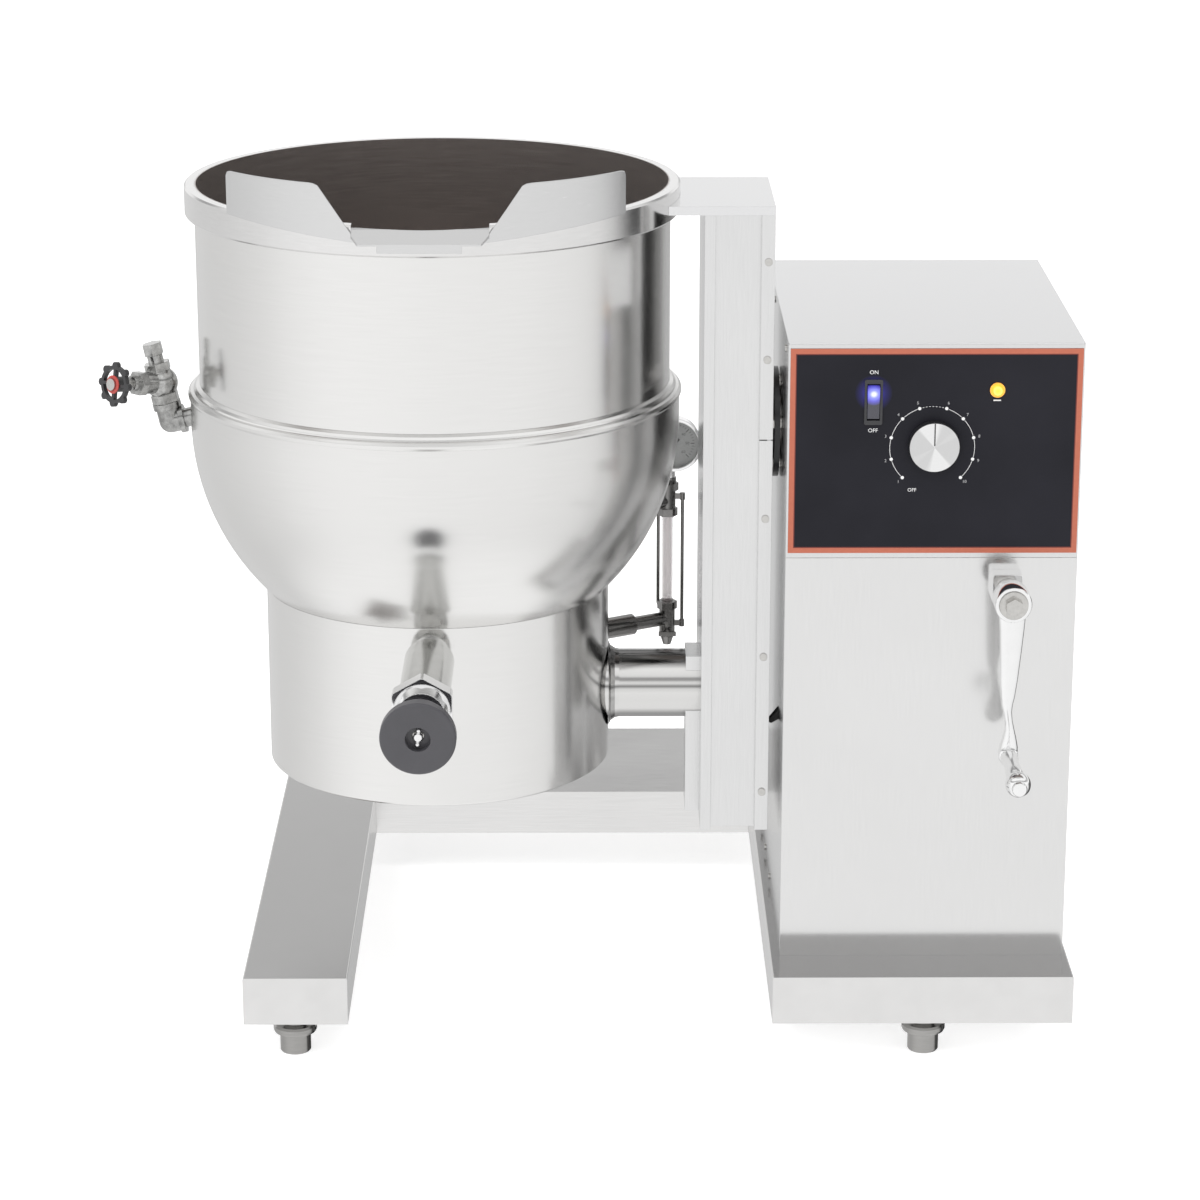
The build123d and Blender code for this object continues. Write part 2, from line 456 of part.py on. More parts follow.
# conduit tube that carries the lower end of the kettle and its wiring
with BuildPart() as conduit_tube:
    rod((176, 0, COND_Z), X, COND_R, COL_X0 - 176)
    with BuildSketch(Plane(origin=(0, 0, COND_Z), x_dir=X, z_dir=-Y)):
        with BuildLine():
            Polyline((HOUS_R + 0.2, COND_R - 1), (HOUS_R + 0.2, COND_R + 9), (HOUS_R + 2.5, COND_R + 4.2), (HOUS_R + 7, COND_R + 1.2), (HOUS_R + 12, COND_R), (HOUS_R + 12, COND_R - 1), (HOUS_R + 0.2, COND_R - 1))
        make_face()
    revolve(axis=Axis((0, 0, COND_Z), (1, 0, 0)))
    with Locations((0, 0, 250)):
        Cylinder(HOUS_R + 0.05, 200, align=LOW, mode=Mode.SUBTRACT)
    rod((178, 0, COND_Z), X, COND_R, HOUS_R - 178 + 0.5)
    rod((170, 0, COND_Z), X, COND_R - 2.6, 200, Mode.SUBTRACT)
save(conduit_tube, "conduit_tube")

# ---------------------------------------------------------------- column
REC = -72.0
with BuildPart() as column_frame:
    blk(COL_X0, COL_X0 + 3, -COL_Y, COL_Y, COL_Z0, COL_Z1)
    blk(COL_X1 - 6, COL_X1 - 1.5, -COL_Y + 1.5, COL_Y, COL_Z0, COL_Z1)
    blk(COL_X0, COL_X1 - 1.5, COL_Y - 3, COL_Y, COL_Z0, COL_Z1)
    blk(COL_X0, COL_X1 - 1.5, REC, REC + 2, COL_Z0, COL_Z1)
    blk(COL_X0, COL_X0 + 11.5, -COL_Y, -COL_Y + 1.5, COL_Z0, COL_Z1)
    blk(COL_X0, COL_X1 - 1.5, REC, COL_Y, COL_Z0, COL_Z0 + 2)
    blk(COL_X0, COL_X1 - 1.5, REC, COL_Y, COL_Z1 - 2, COL_Z1)
    # wiring channel below the end of the conduit tube
    blk(COL_X0 - 15.5, COL_X0, -30, 22, 222, 404)
    blk(COL_X0 - 13, COL_X0 + 0, -27.5, 19.5, 224.5, 322, Mode.SUBTRACT)
    rod((COL_X0 - 20, 0, COND_Z), X, COND_R, 20, Mode.SUBTRACT)
    rod((COL_X0 - 1, 0, COND_Z), X, COND_R - 2.6, 8, Mode.SUBTRACT)
    rod((COL_X1 - 8, 0, TRUN_Z), X, SHAFT_RI, 10, Mode.SUBTRACT)
    for k in range(6):
        a = radians(12 + 60 * k)
        rod((COL_X1 - 8, -50 * cos(a), TRUN_Z + 50 * sin(a)), X, 5.25, 10, Mode.SUBTRACT)
save(column_frame, "column_frame")

for label, z0, z1 in (("column_cover_upper", TRUN_Z + 0.6, COL_Z1), ("column_cover_lower", COL_Z0, TRUN_Z - 0.6)):
    with BuildPart() as column_cover:
        blk(COL_X1 - 1.5, COL_X1, -COL_Y, COL_Y, z0, z1)
        blk(COL_X1 - 14.5, COL_X1, -COL_Y, -COL_Y + 1.5, z0, z1)
        blk(COL_X1 - 14.5, COL_X1 - 13, -COL_Y + 1.5, REC, z0, z1)
        rod((COL_X1 - 3, 0, TRUN_Z), X, 61.0, 6, Mode.SUBTRACT)
    save(column_cover, label)

with BuildPart() as column_screws:
    for z in (861, 754.6, 578, 421, 264):
        rod((COL_X1 - 7, -COL_Y, z), -Y, 4.2, 2.2)
save(column_screws, "column_screws")

with BuildPart() as column_top_plate:
    blk(240, COL_X1, -COL_Y, COL_Y, COL_Z1, COL_Z1 + 2)
    blk(240, COL_X1, -COL_Y - 1.5, -COL_Y, COL_Z1 - 7.5, COL_Z1 + 2)
    blk(240, COL_X1, COL_Y, COL_Y + 1.5, COL_Z1 - 7.5, COL_Z1 + 2)
    with Locations((0, 0, 900)):
        Cylinder(RIM_R + 0.05, 60, align=LOW, mode=Mode.SUBTRACT)
save(column_top_plate, "column_top_plate")

# ---------------------------------------------------------------- trunnion
with BuildPart() as trunnion_flange:
    rod((COL_X1 - 1.5, 0, TRUN_Z), X, 40, 4.6)
    rod((COL_X1 + 3.1, 0, TRUN_Z), X, 60.5, 6.3)
    rod((COL_X1 - 3, 0, TRUN_Z), X, SHAFT_RI, 20, Mode.SUBTRACT)
    for k in range(6):
        a = radians(12 + 60 * k)
        rod((COL_X1 - 3, -50 * cos(a), TRUN_Z + 50 * sin(a)), X, 5.25, 20, Mode.SUBTRACT)
save(trunnion_flange, "trunnion_flange")

# six studs with a head inside the column, a spacer nut and a low head on the flange
with BuildPart() as flange_bolts:
    for k in range(6):
        a = radians(12 + 60 * k)
        y, z = -50 * cos(a), TRUN_Z + 50 * sin(a)
        with BuildSketch(Plane(origin=(COL_X1 - 6, y, z), z_dir=-X)):
            RegularPolygon(9.0, 6)
        extrude(amount=6)
        rod((COL_X1 - 6, y, z), X, 5.25, 15.4)
        with BuildSketch(Plane(origin=(COL_X1 + 0.05, y, z), z_dir=X)):
            RegularPolygon(8.5, 6)
        extrude(amount=3.0)
        rod((COL_X1 + 9.4, y, z), X, 7.5, 1.5)
save(flange_bolts, "flange_bolts")

SH_X0, SH_X1 = COL_X1 + 9.4, 680.0
with BuildPart() as trunnion_shaft:
    rod((SH_X0, 0, TRUN_Z), X, SHAFT_R, SH_X1 - SH_X0)
    rod((SH_X0 - 1, 0, TRUN_Z), X, SHAFT_RI, SH_X1 - SH_X0 + 2, Mode.SUBTRACT)
save(trunnion_shaft, "trunnion_shaft")


def polar(r, a):
    return (-r * sin(a), -r * cos(a))


step = 2 * pi / WHEEL_N
pts = [polar(90, radians(-17)), polar(110, radians(-17))]
for k in range(-2, 17):
    c = k * step
    for r, h in ((110.0, -4.1), (114.0, -2.55), (117.8, -1.15), (117.8, 1.15), (114.0, 2.55), (110.0, 4.1)):
        pts.append(polar(r, c + h / r))
pts.append(polar(110, radians(106)))
for a in range(106, -18, -6):
    pts.append(polar(90, radians(a)))
helix = degrees(11.0 * LEAD / (2 * pi * WORM_R) / WHEEL_R)
rim_wire = Wire.make_polygon([Vector(u, v, 0).rotate(Axis.Z, -helix) for u, v in pts], close=True)
rim = Solid.extrude_linear_with_rotation(rim_wire, center=(0, 0, 0), normal=(0, 0, 22), angle=2 * helix)
rim = Plane(origin=(CRANK_X - 11, 0, TRUN_Z), x_dir=(0, 1, 0), z_dir=(1, 0, 0)) * rim
with BuildPart() as worm_wheel:
    add(rim)
    with BuildSketch(Plane(origin=(CRANK_X - 6, 0, TRUN_Z), x_dir=Y, z_dir=X)):
        with BuildLine():
            Polyline(*([polar(20, radians(a)) for a in (-60, 150)] + [polar(98, radians(a)) for a in range(104, -17, -8)] + [polar(20, radians(-60))]))
        make_face()
    extrude(amount=12)
    rod((CRANK_X - 18, 0, TRUN_Z), X, 48, 36)
    for a in (radians(18), radians(46), radians(74)):
        rod((CRANK_X - 10, -68 * sin(a), TRUN_Z - 68 * cos(a)), X, 13, 24, Mode.SUBTRACT)
    rod((CRANK_X - 20, 0, TRUN_Z), X, SHAFT_R, 40, Mode.SUBTRACT)
save(worm_wheel, "worm_wheel")


# ---------------------------------------------------------------- draw-off valve
def dp(s):
    return DO_P + DO_D * s


with BuildPart() as drawoff_tube:
    rod(dp(-92), DO_D, 21.0, 114)
    cone(dp(17), DO_D, 21.0, 26.5, 5)
    rod(dp(22), DO_D, 26.5, 118)
    rod(dp(SPOUT) - Z * 61, Z, 24.0, 61)
    rod(dp(-95), DO_D, 18.5, 145, Mode.SUBTRACT)
    rod(dp(62), DO_D, 22.0, 64, Mode.SUBTRACT)
    rod(dp(SPOUT) - Z * 62, Z, 21.0, 62, Mode.SUBTRACT)
    rod(dp(120), DO_D, 6.1, 30, Mode.SUBTRACT)
    with Locations(sphere_c):
        Sphere(BOWL_R, mode=Mode.SUBTRACT)
save(drawoff_tube, "drawoff_tube")

# bonnet nut with its packing gland
with BuildPart() as drawoff_nut:
    with BuildSketch(Plane(origin=dp(140), x_dir=X, z_dir=DO_D)):
        RegularPolygon(36.0, 6, rotation=30)
    extrude(amount=16)
    with Locations(Plane(origin=dp(140), z_dir=DO_D)):
        Cylinder(35.0, 17, align=LOW, mode=Mode.INTERSECT)
    cone(dp(155), DO_D, 29.0, 25.0, 16)
    rod(dp(170), DO_D, 15.0, 12)
    rod(dp(139), DO_D, 6.1, 50, Mode.SUBTRACT)
save(drawoff_nut, "drawoff_nut")

with BuildPart() as drawoff_stem:
    rod(dp(62.4), DO_D, 21.0, 8)
    rod(dp(69), DO_D, 4.2, 52)
    rod(dp(118), DO_D, 6.0, 102)
save(drawoff_stem, "drawoff_stem")

with BuildPart() as drawoff_knob:
    rod(dp(KNOB_S - 15), DO_D, 39.0, 15)
    fillet(drawoff_knob.edges(), 3.0)
    rod(dp(KNOB_S - 33), DO_D, 31.0, 18.5)
    rod(dp(KNOB_S - 38), DO_D, 20.0, 6)
    rod(dp(KNOB_S - 9), DO_D, 13.0, 12, Mode.SUBTRACT)
    rod(dp(KNOB_S - 45), DO_D, 6.1, 45, Mode.SUBTRACT)
save(drawoff_knob, "drawoff_knob")


# ---------------------------------------------------------------- water fill valve
def fp(a, b, c=0.0):
    return FV_P + FV_U * a + FV_V * b - Y * c


with BuildPart() as fill_elbow:
    rod(fp(-4, 0), FV_U, 10.5, 16)
    rod(fp(9, 0), FV_U, 15.5, 6)
    rod(fp(9, 0), FV_U, 13.0, 16)
    with Locations(fp(25, 0)):
        Sphere(13.0)
    rod(fp(25, 0), FV_V, 13.0, 21)
    rod(fp(25, 15), FV_V, 15.5, 7)
    rod(fp(-6, 0), FV_U, 8.0, 31, Mode.SUBTRACT)
    rod(fp(25, 0), FV_V, 8.0, 30, Mode.SUBTRACT)
save(fill_elbow, "fill_elbow")

FW = (FV_U * 0.62 + FV_V * 0.28 - Y * 0.73).normalized()
FC = fp(25, 44)
with BuildPart() as fill_valve_body:
    with BuildSketch(Plane(origin=fp(25, 22), x_dir=Y, z_dir=FV_V)):
        RegularPolygon(16.0, 6)
    extrude(amount=10)
    rod(fp(25, 30), FV_V, 13.0, 30)
    with Locations(FC):
        Sphere(18.0)
    with BuildSketch(Plane(origin=fp(25, 58), x_dir=Y, z_dir=FV_V)):
        RegularPolygon(15.0, 6)
    extrude(amount=9)
    rod(fp(25, 66), FV_V, 8.5, 12)
    with BuildSketch(Plane(origin=fp(25, 76), x_dir=Y, z_dir=FV_V)):
        RegularPolygon(11.0, 6)
    extrude(amount=13)
    rod(FC, FW, 12.0, 32)
    with BuildSketch(Plane(origin=FC + FW * 27, z_dir=FW)):
        RegularPolygon(14.0, 6)
    extrude(amount=10)
    rod(FC + FW * 37, FW, 8.5, 7)
    rod(fp(25, 20), FV_V, 8.0, 46, Mode.SUBTRACT)
    rod(FC, FW, 4.06, 60, Mode.SUBTRACT)
save(fill_valve_body, "fill_valve_body")

with BuildPart() as fill_stem:
    rod(FC + FW * 20, FW, 4.0, 50.5)
    rod(FC + FW * 70.5, FW, 6.5, 3)
save(fill_stem, "fill_stem")

with BuildPart() as fill_handwheel:
    with BuildSketch(Plane(origin=FC + FW * 64, z_dir=FW)):
        Circle(20.5)
        with PolarLocations(20.3, 8):
            Circle(4.2)
        Circle(16.6, mode=Mode.SUBTRACT)
        with PolarLocations(0, 4):
            Rectangle(34, 3.6)
        Circle(8.5)
    extrude(amount=5)
    rod(FC + FW * 58, FW, 8.5, 12.2)
    rod(FC + FW * 50, FW, 4.06, 30, Mode.SUBTRACT)
save(fill_handwheel, "fill_handwheel")

# ---------------------------------------------------------------- gauge and sight glass
with BuildPart() as gauge_case:
    rod(GAUGE + Y * 16, -Y, 29.0, 26)
    rod(GAUGE - Y * 4, -Y, 31.0, 6)
    rod(GAUGE, -Y, 27.5, 12, Mode.SUBTRACT)
    rod(GAUGE - Vector(4, 0, 24) + Y * 8, -Z, 5.5, 18)
    rod(GAUGE + Y * 1, -Y, 1.2, 4.0)
save(gauge_case, "gauge_case")

with BuildPart() as gauge_lens:
    rod(GAUGE - Y * 6.6, -Y, 27.5, 1.8)
save(gauge_lens, "gauge_lens")

with BuildPart() as gauge_needle:
    rod(GAUGE - Y * 1.4, -Y, 3.2, 1.6)
    with BuildSketch(Plane(origin=GAUGE - Y * 1.4, x_dir=X, z_dir=-Y)):
        with BuildLine():
            Polyline((-15.5, -15.5), (1.3, -1.3), (6.2, 4.6), (4.6, 6.2), (-1.3, 1.3), (-15.5, -15.5))
        make_face()
    extrude(amount=1.0)
    rod(GAUGE + Y * 2, -Y, 1.23, 8.0, Mode.SUBTRACT)
save(gauge_needle, "gauge_needle")

SGP = Vector(SG_X, SG_Y, 0)
with BuildPart() as sight_fittings:
    # upper fitting, its nipple to the jacket and the socket of the gauge
    rod(SGP + Z * 517, Z, 9.0, 38)
    with BuildSketch(Plane.XY.offset(517)):
        with Locations((SG_X, SG_Y)):
            RegularPolygon(11.5, 6)
    extrude(amount=9)
    with BuildSketch(Plane.XY.offset(546)):
        with Locations((SG_X + 2, SG_Y + 3)):
            RegularPolygon(10.5, 6)
    extrude(amount=9)
    rod(GAUGE - Vector(4, 0, 0) + Y * 8 - Z * (602 - 546), Z, 6.5, 14)
    rod(SG_D * 226 + Z * 535, SG_D, 8.0, SG_R - 226)
    rod(SGP + Vector(17, -2, 536), Z, 3.0, 8)
    blk(SG_X, SG_X + 17, SG_Y - 4, SG_Y, 537, 543)
    # lower fitting, pipe to the sump
    rod(SGP + Z * 372, Z, 9.0, 42)
    with BuildSketch(Plane.XY.offset(405)):
        with Locations((SG_X, SG_Y)):
            RegularPolygon(11.5, 6)
    extrude(amount=9)
    cone(SGP + Z * 362, Z, 4.5, 8.0, 11)
    rod(SG_D * 111.5 + Z * 393, SG_D, 8.0, SG_R - 111.5)
    rod(SG_D * 214 + Z * 393, SG_D, 12.0, 38)
    rod(SGP + Vector(17, -2, 384), Z, 3.0, 8)
    blk(SG_X, SG_X + 17, SG_Y - 4, SG_Y, 385, 391)
    # guard rods
    rod(SGP + Vector(17, -2, 390), Z, 1.9, 148)
    rod(SGP + Vector(-10.5, 6, 410), Z, 1.9, 112)
    rod(SGP + Vector(-9.0, 5.5, 408), Z, 3.0, 5)
    rod(SGP + Vector(-9.0, 5.5, 519), Z, 3.0, 5)
    rod(SG_D * 100 + Z * 393, SG_D, 5.0, SG_R - 100, Mode.SUBTRACT)
    rod(SG_D * 220 + Z * 535, SG_D, 5.0, SG_R - 220, Mode.SUBTRACT)
    rod(SGP + Z * 393, Z, 4.5, 30, Mode.SUBTRACT)
    rod(SGP + Z * 510, Z, 4.5, 25, Mode.SUBTRACT)
    rod(SGP + Vector(0, -20, 379), Y, 3.56, 12, Mode.SUBTRACT)
save(sight_fittings, "sight_fittings")

with BuildPart() as sight_glass:
    rod(SGP + Z * 414, Z, 6.4, 103)
    rod(SGP + Z * 413, Z, 4.6, 105, Mode.SUBTRACT)
save(sight_glass, "sight_glass")

with BuildPart() as drain_cock:
    rod(SGP + Vector(0, -8.6, 379), -Y, 3.5, 7)
    blk(SG_X - 10, SG_X + 10, SG_Y - 18.6, SG_Y - 15.6, 376.5, 381.5)
save(drain_cock, "drain_cock")

# ---------------------------------------------------------------- safety valve at the back of the jacket
SV = Vector(0, 300, 664)
with BuildPart() as safety_valve:
    rod((0, 264, 664), Y, 10.5, 26)
    rod((0, 300, 648), Z, 15.0, 22)
    rod((0, 284, 664), Y, 13.0, 16)
    with BuildSketch(Plane.XY.offset(670)):
        with Locations((0, 300)):
            RegularPolygon(18.0, 6)
    extrude(amount=12)
    rod((0, 300, 682), Z, 13.0, 30)
    rod((0, 300, 692), X, 9.0, 26)
    rod((0, 300, 712), Z, 4.0, 8)
    blk(-8, -5, 288, 294, 708, 724)
    blk(5, 8, 288, 294, 708, 724)
    rod((0, 300, 692), X, 6.0, 30, Mode.SUBTRACT)
    rod((-10, 291, 719), X, 2.05, 20, Mode.SUBTRACT)
save(safety_valve, "safety_valve")

with BuildPart() as safety_valve_lever:
    blk(-4.5, 4.5, 286, 345, 720.4, 723.4)
    blk(-4.5, 4.5, 287.5, 294.5, 715.5, 723.4)
    rod((-8.5, 291, 719), X, 2.0, 17)
save(safety_valve_lever, "safety_valve_lever")
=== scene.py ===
import json
import math
import random

import bmesh
import bpy
from mathutils import Matrix, Vector


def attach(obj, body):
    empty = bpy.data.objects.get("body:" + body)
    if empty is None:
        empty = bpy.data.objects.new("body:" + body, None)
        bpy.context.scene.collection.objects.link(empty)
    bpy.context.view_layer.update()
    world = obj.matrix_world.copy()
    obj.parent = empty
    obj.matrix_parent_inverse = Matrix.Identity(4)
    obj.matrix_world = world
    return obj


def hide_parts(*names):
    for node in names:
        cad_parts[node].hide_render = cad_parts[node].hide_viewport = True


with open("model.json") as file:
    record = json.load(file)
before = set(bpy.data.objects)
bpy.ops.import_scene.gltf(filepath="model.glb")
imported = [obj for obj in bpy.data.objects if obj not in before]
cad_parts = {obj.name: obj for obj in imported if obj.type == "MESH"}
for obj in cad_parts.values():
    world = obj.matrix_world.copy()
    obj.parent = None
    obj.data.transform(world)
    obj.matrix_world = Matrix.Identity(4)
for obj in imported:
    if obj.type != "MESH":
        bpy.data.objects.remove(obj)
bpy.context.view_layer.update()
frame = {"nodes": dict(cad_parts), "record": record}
NODE = frame["nodes"]
scene = bpy.context.scene

# ---------------------------------------------------------------- the same dimensions as the CAD, in metres
SX, SY = -0.1654, -0.09635            # kettle axis in the row frame


def P(x, y, z):
    """A point given in millimetres about the kettle's own axis, in the row frame."""
    return Vector((x * 0.001 + SX, y * 0.001 + SY, z * 0.001))


OV_Y = -156.5
DIAL = (532.2, 679.0)
ROCK = (467.5, 726.0)
LAMP = (597.8, 739.0)
CRANK_X, CRANK_Z = 613.0, 526.0
HUB_Y, ARM_L = -243.0, 168.0
DO_P = Vector((-1.5, -188.0, 458.0))
DO_A = math.radians(4.0)
DO_D = Vector((-0.018, -math.cos(DO_A), -math.sin(DO_A))).normalized()
KNOB_S = 232.0
FV_A = math.radians(12.0)
FV_P = Vector((-266.0, 0, 672.5))
FV_U = Vector((-math.cos(FV_A), 0, -math.sin(FV_A)))
FV_V = Vector((-math.sin(FV_A), 0, math.cos(FV_A)))
FC = FV_P + FV_U * 25 + FV_V * 44
FW = (FV_U * 0.62 + FV_V * 0.28 - Vector((0, 1, 0)) * 0.73).normalized()
GAUGE = Vector((266.0, 150.0, 602.0))

# ---------------------------------------------------------------- camera
cam_data = bpy.data.cameras.new("camera")
cam_data.lens = 110.79
cam_data.sensor_width = 36.0
cam_data.clip_start, cam_data.clip_end = 0.1, 100.0
cam = bpy.data.objects.new("camera", cam_data)
cam.location = (-0.0058, -4.03195, 1.6639)
cam.rotation_euler = (math.radians(73.0), 0.0, math.radians(-0.3))
scene.collection.objects.link(cam)
scene.camera = cam

scene.view_settings.view_transform = "Standard"
scene.view_settings.look = "None"
scene.view_settings.exposure = 0.0
scene.view_settings.gamma = 1.0


# ---------------------------------------------------------------- node helpers
class Tree:
    def __init__(self, nt):
        self.nt = nt

    def node(self, kind, **props):
        n = self.nt.nodes.new(kind)
        for k, v in props.items():
            setattr(n, k, v)
        return n

    def link(self, a, b):
        self.nt.links.new(a, b)

    def math(self, op, a, b=None, clamp=False):
        n = self.node("ShaderNodeMath", operation=op, use_clamp=clamp)
        for i, v in enumerate((a, b)):
            if v is None:
                continue
            if isinstance(v, (int, float)):
                n.inputs[i].default_value = v
            else:
                self.link(v, n.inputs[i])
        return n.outputs[0]

    def ramp(self, fac, stops, interp="LINEAR"):
        n = self.node("ShaderNodeValToRGB")
        n.color_ramp.interpolation = interp
        els = n.color_ramp.elements
        while len(els) < len(stops):
            els.new(0.5)
        for e, (p, c) in zip(els, stops):
            e.position = p
            e.color = (c, c, c, 1) if isinstance(c, (int, float)) else (*c, 1)
        self.link(fac, n.inputs[0])
        return n.outputs[0]

    def coords(self, scale=(1, 1, 1), loc=(0, 0, 0)):
        tc = self.node("ShaderNodeTexCoord")
        mp = self.node("ShaderNodeMapping")
        mp.inputs["Scale"].default_value = scale
        mp.inputs["Location"].default_value = loc
        self.link(tc.outputs["Object"], mp.inputs["Vector"])
        return mp.outputs[0]

    def noise(self, vec, scale, detail=2.0, rough=0.5):
        n = self.node("ShaderNodeTexNoise")
        n.inputs["Scale"].default_value = scale
        n.inputs["Detail"].default_value = detail
        n.inputs["Roughness"].default_value = rough
        self.link(vec, n.inputs["Vector"])
        return n.outputs["Fac"]

    def mix(self, fac, a, b, blend="MIX"):
        n = self.node("ShaderNodeMix", data_type="RGBA", blend_type=blend)
        for i, v in ((0, fac), (6, a), (7, b)):
            if isinstance(v, (int, float)):
                n.inputs[i].default_value = v if i == 0 else (v, v, v, 1)
            elif isinstance(v, tuple):
                n.inputs[i].default_value = (*v, 1)
            else:
                self.link(v, n.inputs[i])
        return n.outputs[2]

    def bump(self, height, strength, distance, normal=None):
        n = self.node("ShaderNodeBump")
        n.inputs["Strength"].default_value = strength
        n.inputs["Distance"].default_value = distance
        self.link(height, n.inputs["Height"])
        if normal is not None:
            self.link(normal, n.inputs["Normal"])
        return n.outputs[0]

    def bevel(self, radius, samples=4):
        n = self.node("ShaderNodeBevel", samples=samples)
        n.inputs["Radius"].default_value = radius
        return n.outputs[0]


def new_material(name):
    m = bpy.data.materials.new(name)
    m.use_nodes = True
    t = Tree(m.node_tree)
    bsdf = next(n for n in m.node_tree.nodes if n.type == "BSDF_PRINCIPLED")
    return m, t, bsdf


def steel(name, color, rough, brush=(1, 1, 1), brush_scale=60.0, contrast=0.05, bump=0.05, tint=0.03,
          aniso=0.0, tangent=None, edge=0.0006, wear=0.0):
    """Stainless steel: streaks along the brushing, slow patches of polish, fine scratches and softly broken edges."""
    m, t, b = new_material(name)
    b.inputs["Metallic"].default_value = 1.0
    streak = t.noise(t.coords(brush), brush_scale, 6.0, 0.62)
    patch = t.noise(t.coords((1, 1, 1), (0.3, 0.1, 0.7)), 5.0, 3.0, 0.55)
    r = t.math("ADD", t.math("MULTIPLY", t.math("SUBTRACT", streak, 0.5), contrast * 2),
               t.math("MULTIPLY", t.math("SUBTRACT", patch, 0.5), contrast))
    r = t.math("ADD", r, rough, clamp=True)
    t.link(r, b.inputs["Roughness"])
    dark = tuple(c * (1 - tint * 2.2) for c in color)
    light = tuple(min(1, c * (1 + tint)) for c in color)
    shade = t.math("ADD", t.math("MULTIPLY", streak, 0.55), t.math("MULTIPLY", patch, 0.45), clamp=True)
    col = t.ramp(shade, ((0.3, dark), (0.7, light)))
    if wear:
        spots = t.noise(t.coords((1, 1, 1), (2, 5, 1)), 38.0, 5.0, 0.7)
        mask = t.ramp(spots, ((0.60, 0.0), (0.78, wear)))
        col = t.mix(mask, col, tuple(c * 0.55 for c in color))
    t.link(col, b.inputs["Base Color"])
    normal = t.bevel(edge) if edge else None
    t.link(t.bump(streak, bump, 0.0002, normal), b.inputs["Normal"])
    if aniso:
        b.inputs["Anisotropic"].default_value = aniso
        tn = t.node("ShaderNodeTangent", direction_type="RADIAL", axis=tangent)
        t.link(tn.outputs[0], b.inputs["Tangent"])
    return m


def plastic(name, color, rough=0.45, grain=900.0, bump=0.15, edge=0.0005, coat=0.0, spec=0.5, vary=0.12):
    m, t, b = new_material(name)
    fine = t.noise(t.coords(), grain, 3.0, 0.6)
    slow = t.noise(t.coords((1, 1, 1), (1, 2, 3)), 22.0, 4.0, 0.6)
    t.link(t.math("ADD", t.math("MULTIPLY", t.math("SUBTRACT", slow, 0.5), 0.18), rough, clamp=True), b.inputs["Roughness"])
    t.link(t.ramp(slow, ((0.25, tuple(c * (1 - vary) for c in color)), (0.75, tuple(min(1, c * (1 + vary)) for c in color)))),
           b.inputs["Base Color"])
    b.inputs["Specular IOR Level"].default_value = spec
    if coat:
        b.inputs["Coat Weight"].default_value = coat
        b.inputs["Coat Roughness"].default_value = 0.12
    t.link(t.bump(fine, bump, 0.0001, t.bevel(edge) if edge else None), b.inputs["Normal"])
    return m


# ---------------------------------------------------------------- world: white sweep, bright walls, darker ceiling, one flag
world = bpy.data.worlds.new("studio")
world.use_nodes = True
scene.world = world
W = Tree(world.node_tree)
bg = next(n for n in world.node_tree.nodes if n.type == "BACKGROUND")
tc = W.node("ShaderNodeTexCoord")
sep = W.node("ShaderNodeSeparateXYZ")
W.link(tc.outputs["Generated"], sep.inputs[0])
wx, wy, wz = sep.outputs
height = W.math("MULTIPLY_ADD", wz, 0.5)
height.node.inputs[2].default_value = 0.5
WARM = (0.23, 0.205, 0.19)
front = W.ramp(height, ((0.0, 0.98), (0.47, 1.0), (0.60, 1.0), (0.67, 0.97), (0.70, 0.42), (0.77, 0.36), (0.80, 0.95), (0.95, 1.0), (1.0, 0.60)))
back = W.ramp(height, ((0.0, 0.98), (0.47, 1.0), (0.58, 0.96), (0.628, 0.92), (0.662, 0.40), (0.71, 0.36), (0.76, 0.80), (0.84, 0.95), (0.885, 0.80),
                       (0.915, WARM), (1.0, WARM)))
yy = W.math("MULTIPLY_ADD", wy, 0.5)
yy.node.inputs[2].default_value = 0.5
toward_back = W.ramp(yy, ((0.47, 0.0), (0.56, 1.0)))
azim = W.math("ARCTAN2", wx, W.math("MULTIPLY", wy, -1.0))
azim = W.math("MULTIPLY_ADD", azim, 1 / (2 * math.pi))
azim.node.inputs[2].default_value = 0.5


def az(deg):
    return deg / 360 + 0.5


side = W.ramp(azim, tuple((az(d), v) for d, v in (
    (-180, 0.60), (-155, 0.69), (-134, 0.69), (-120, 0.71), (-108, 0.735), (-98, 0.774), (-90, 0.80), (-82, 0.84), (-74, 0.893),
    (-67, 0.92), (-54, 0.967), (-41, 0.985), (-15, 0.975), (0, 0.955), (20, 0.94), (45, 0.92), (60, 0.885), (78, 0.85), (86, 0.80),
    (94, 0.62), (100, 0.34), (106, 0.10), (113, 0.06), (118, 0.20), (124, 0.20), (129, 0.045), (150, 0.035), (158, 0.30), (166, 0.50),
    (180, 0.60))))
low = W.ramp(height, ((0.0, 0.0), (0.06, 0.0), (0.15, 1.0), (0.50, 1.0), (0.56, 0.0), (1.0, 0.0)))
vert = W.mix(toward_back, front, back)
sky = W.mix(1.0, vert, W.mix(low, 1.0, side), "MULTIPLY")
W.link(sky, bg.inputs["Color"])
bg.inputs["Strength"].default_value = 1.12


def area(name, loc, target, size, power, glossy=False):
    d = bpy.data.lights.new(name, "AREA")
    d.shape, d.size, d.energy = "SQUARE", size, power
    o = bpy.data.objects.new(name, d)
    o.location = loc
    o.rotation_euler = (Vector(target) - Vector(loc)).to_track_quat("-Z", "Y").to_euler()
    scene.collection.objects.link(o)
    o.visible_glossy = glossy
    o.visible_camera = False
    return o


area("softbox_top", (-0.4, -1.0, 3.4), (0, 0, 0.3), 3.2, 62.0)
area("softbox_left", (-3.0, -1.6, 2.0), (0, 0, 0.6), 2.0, 16.0)

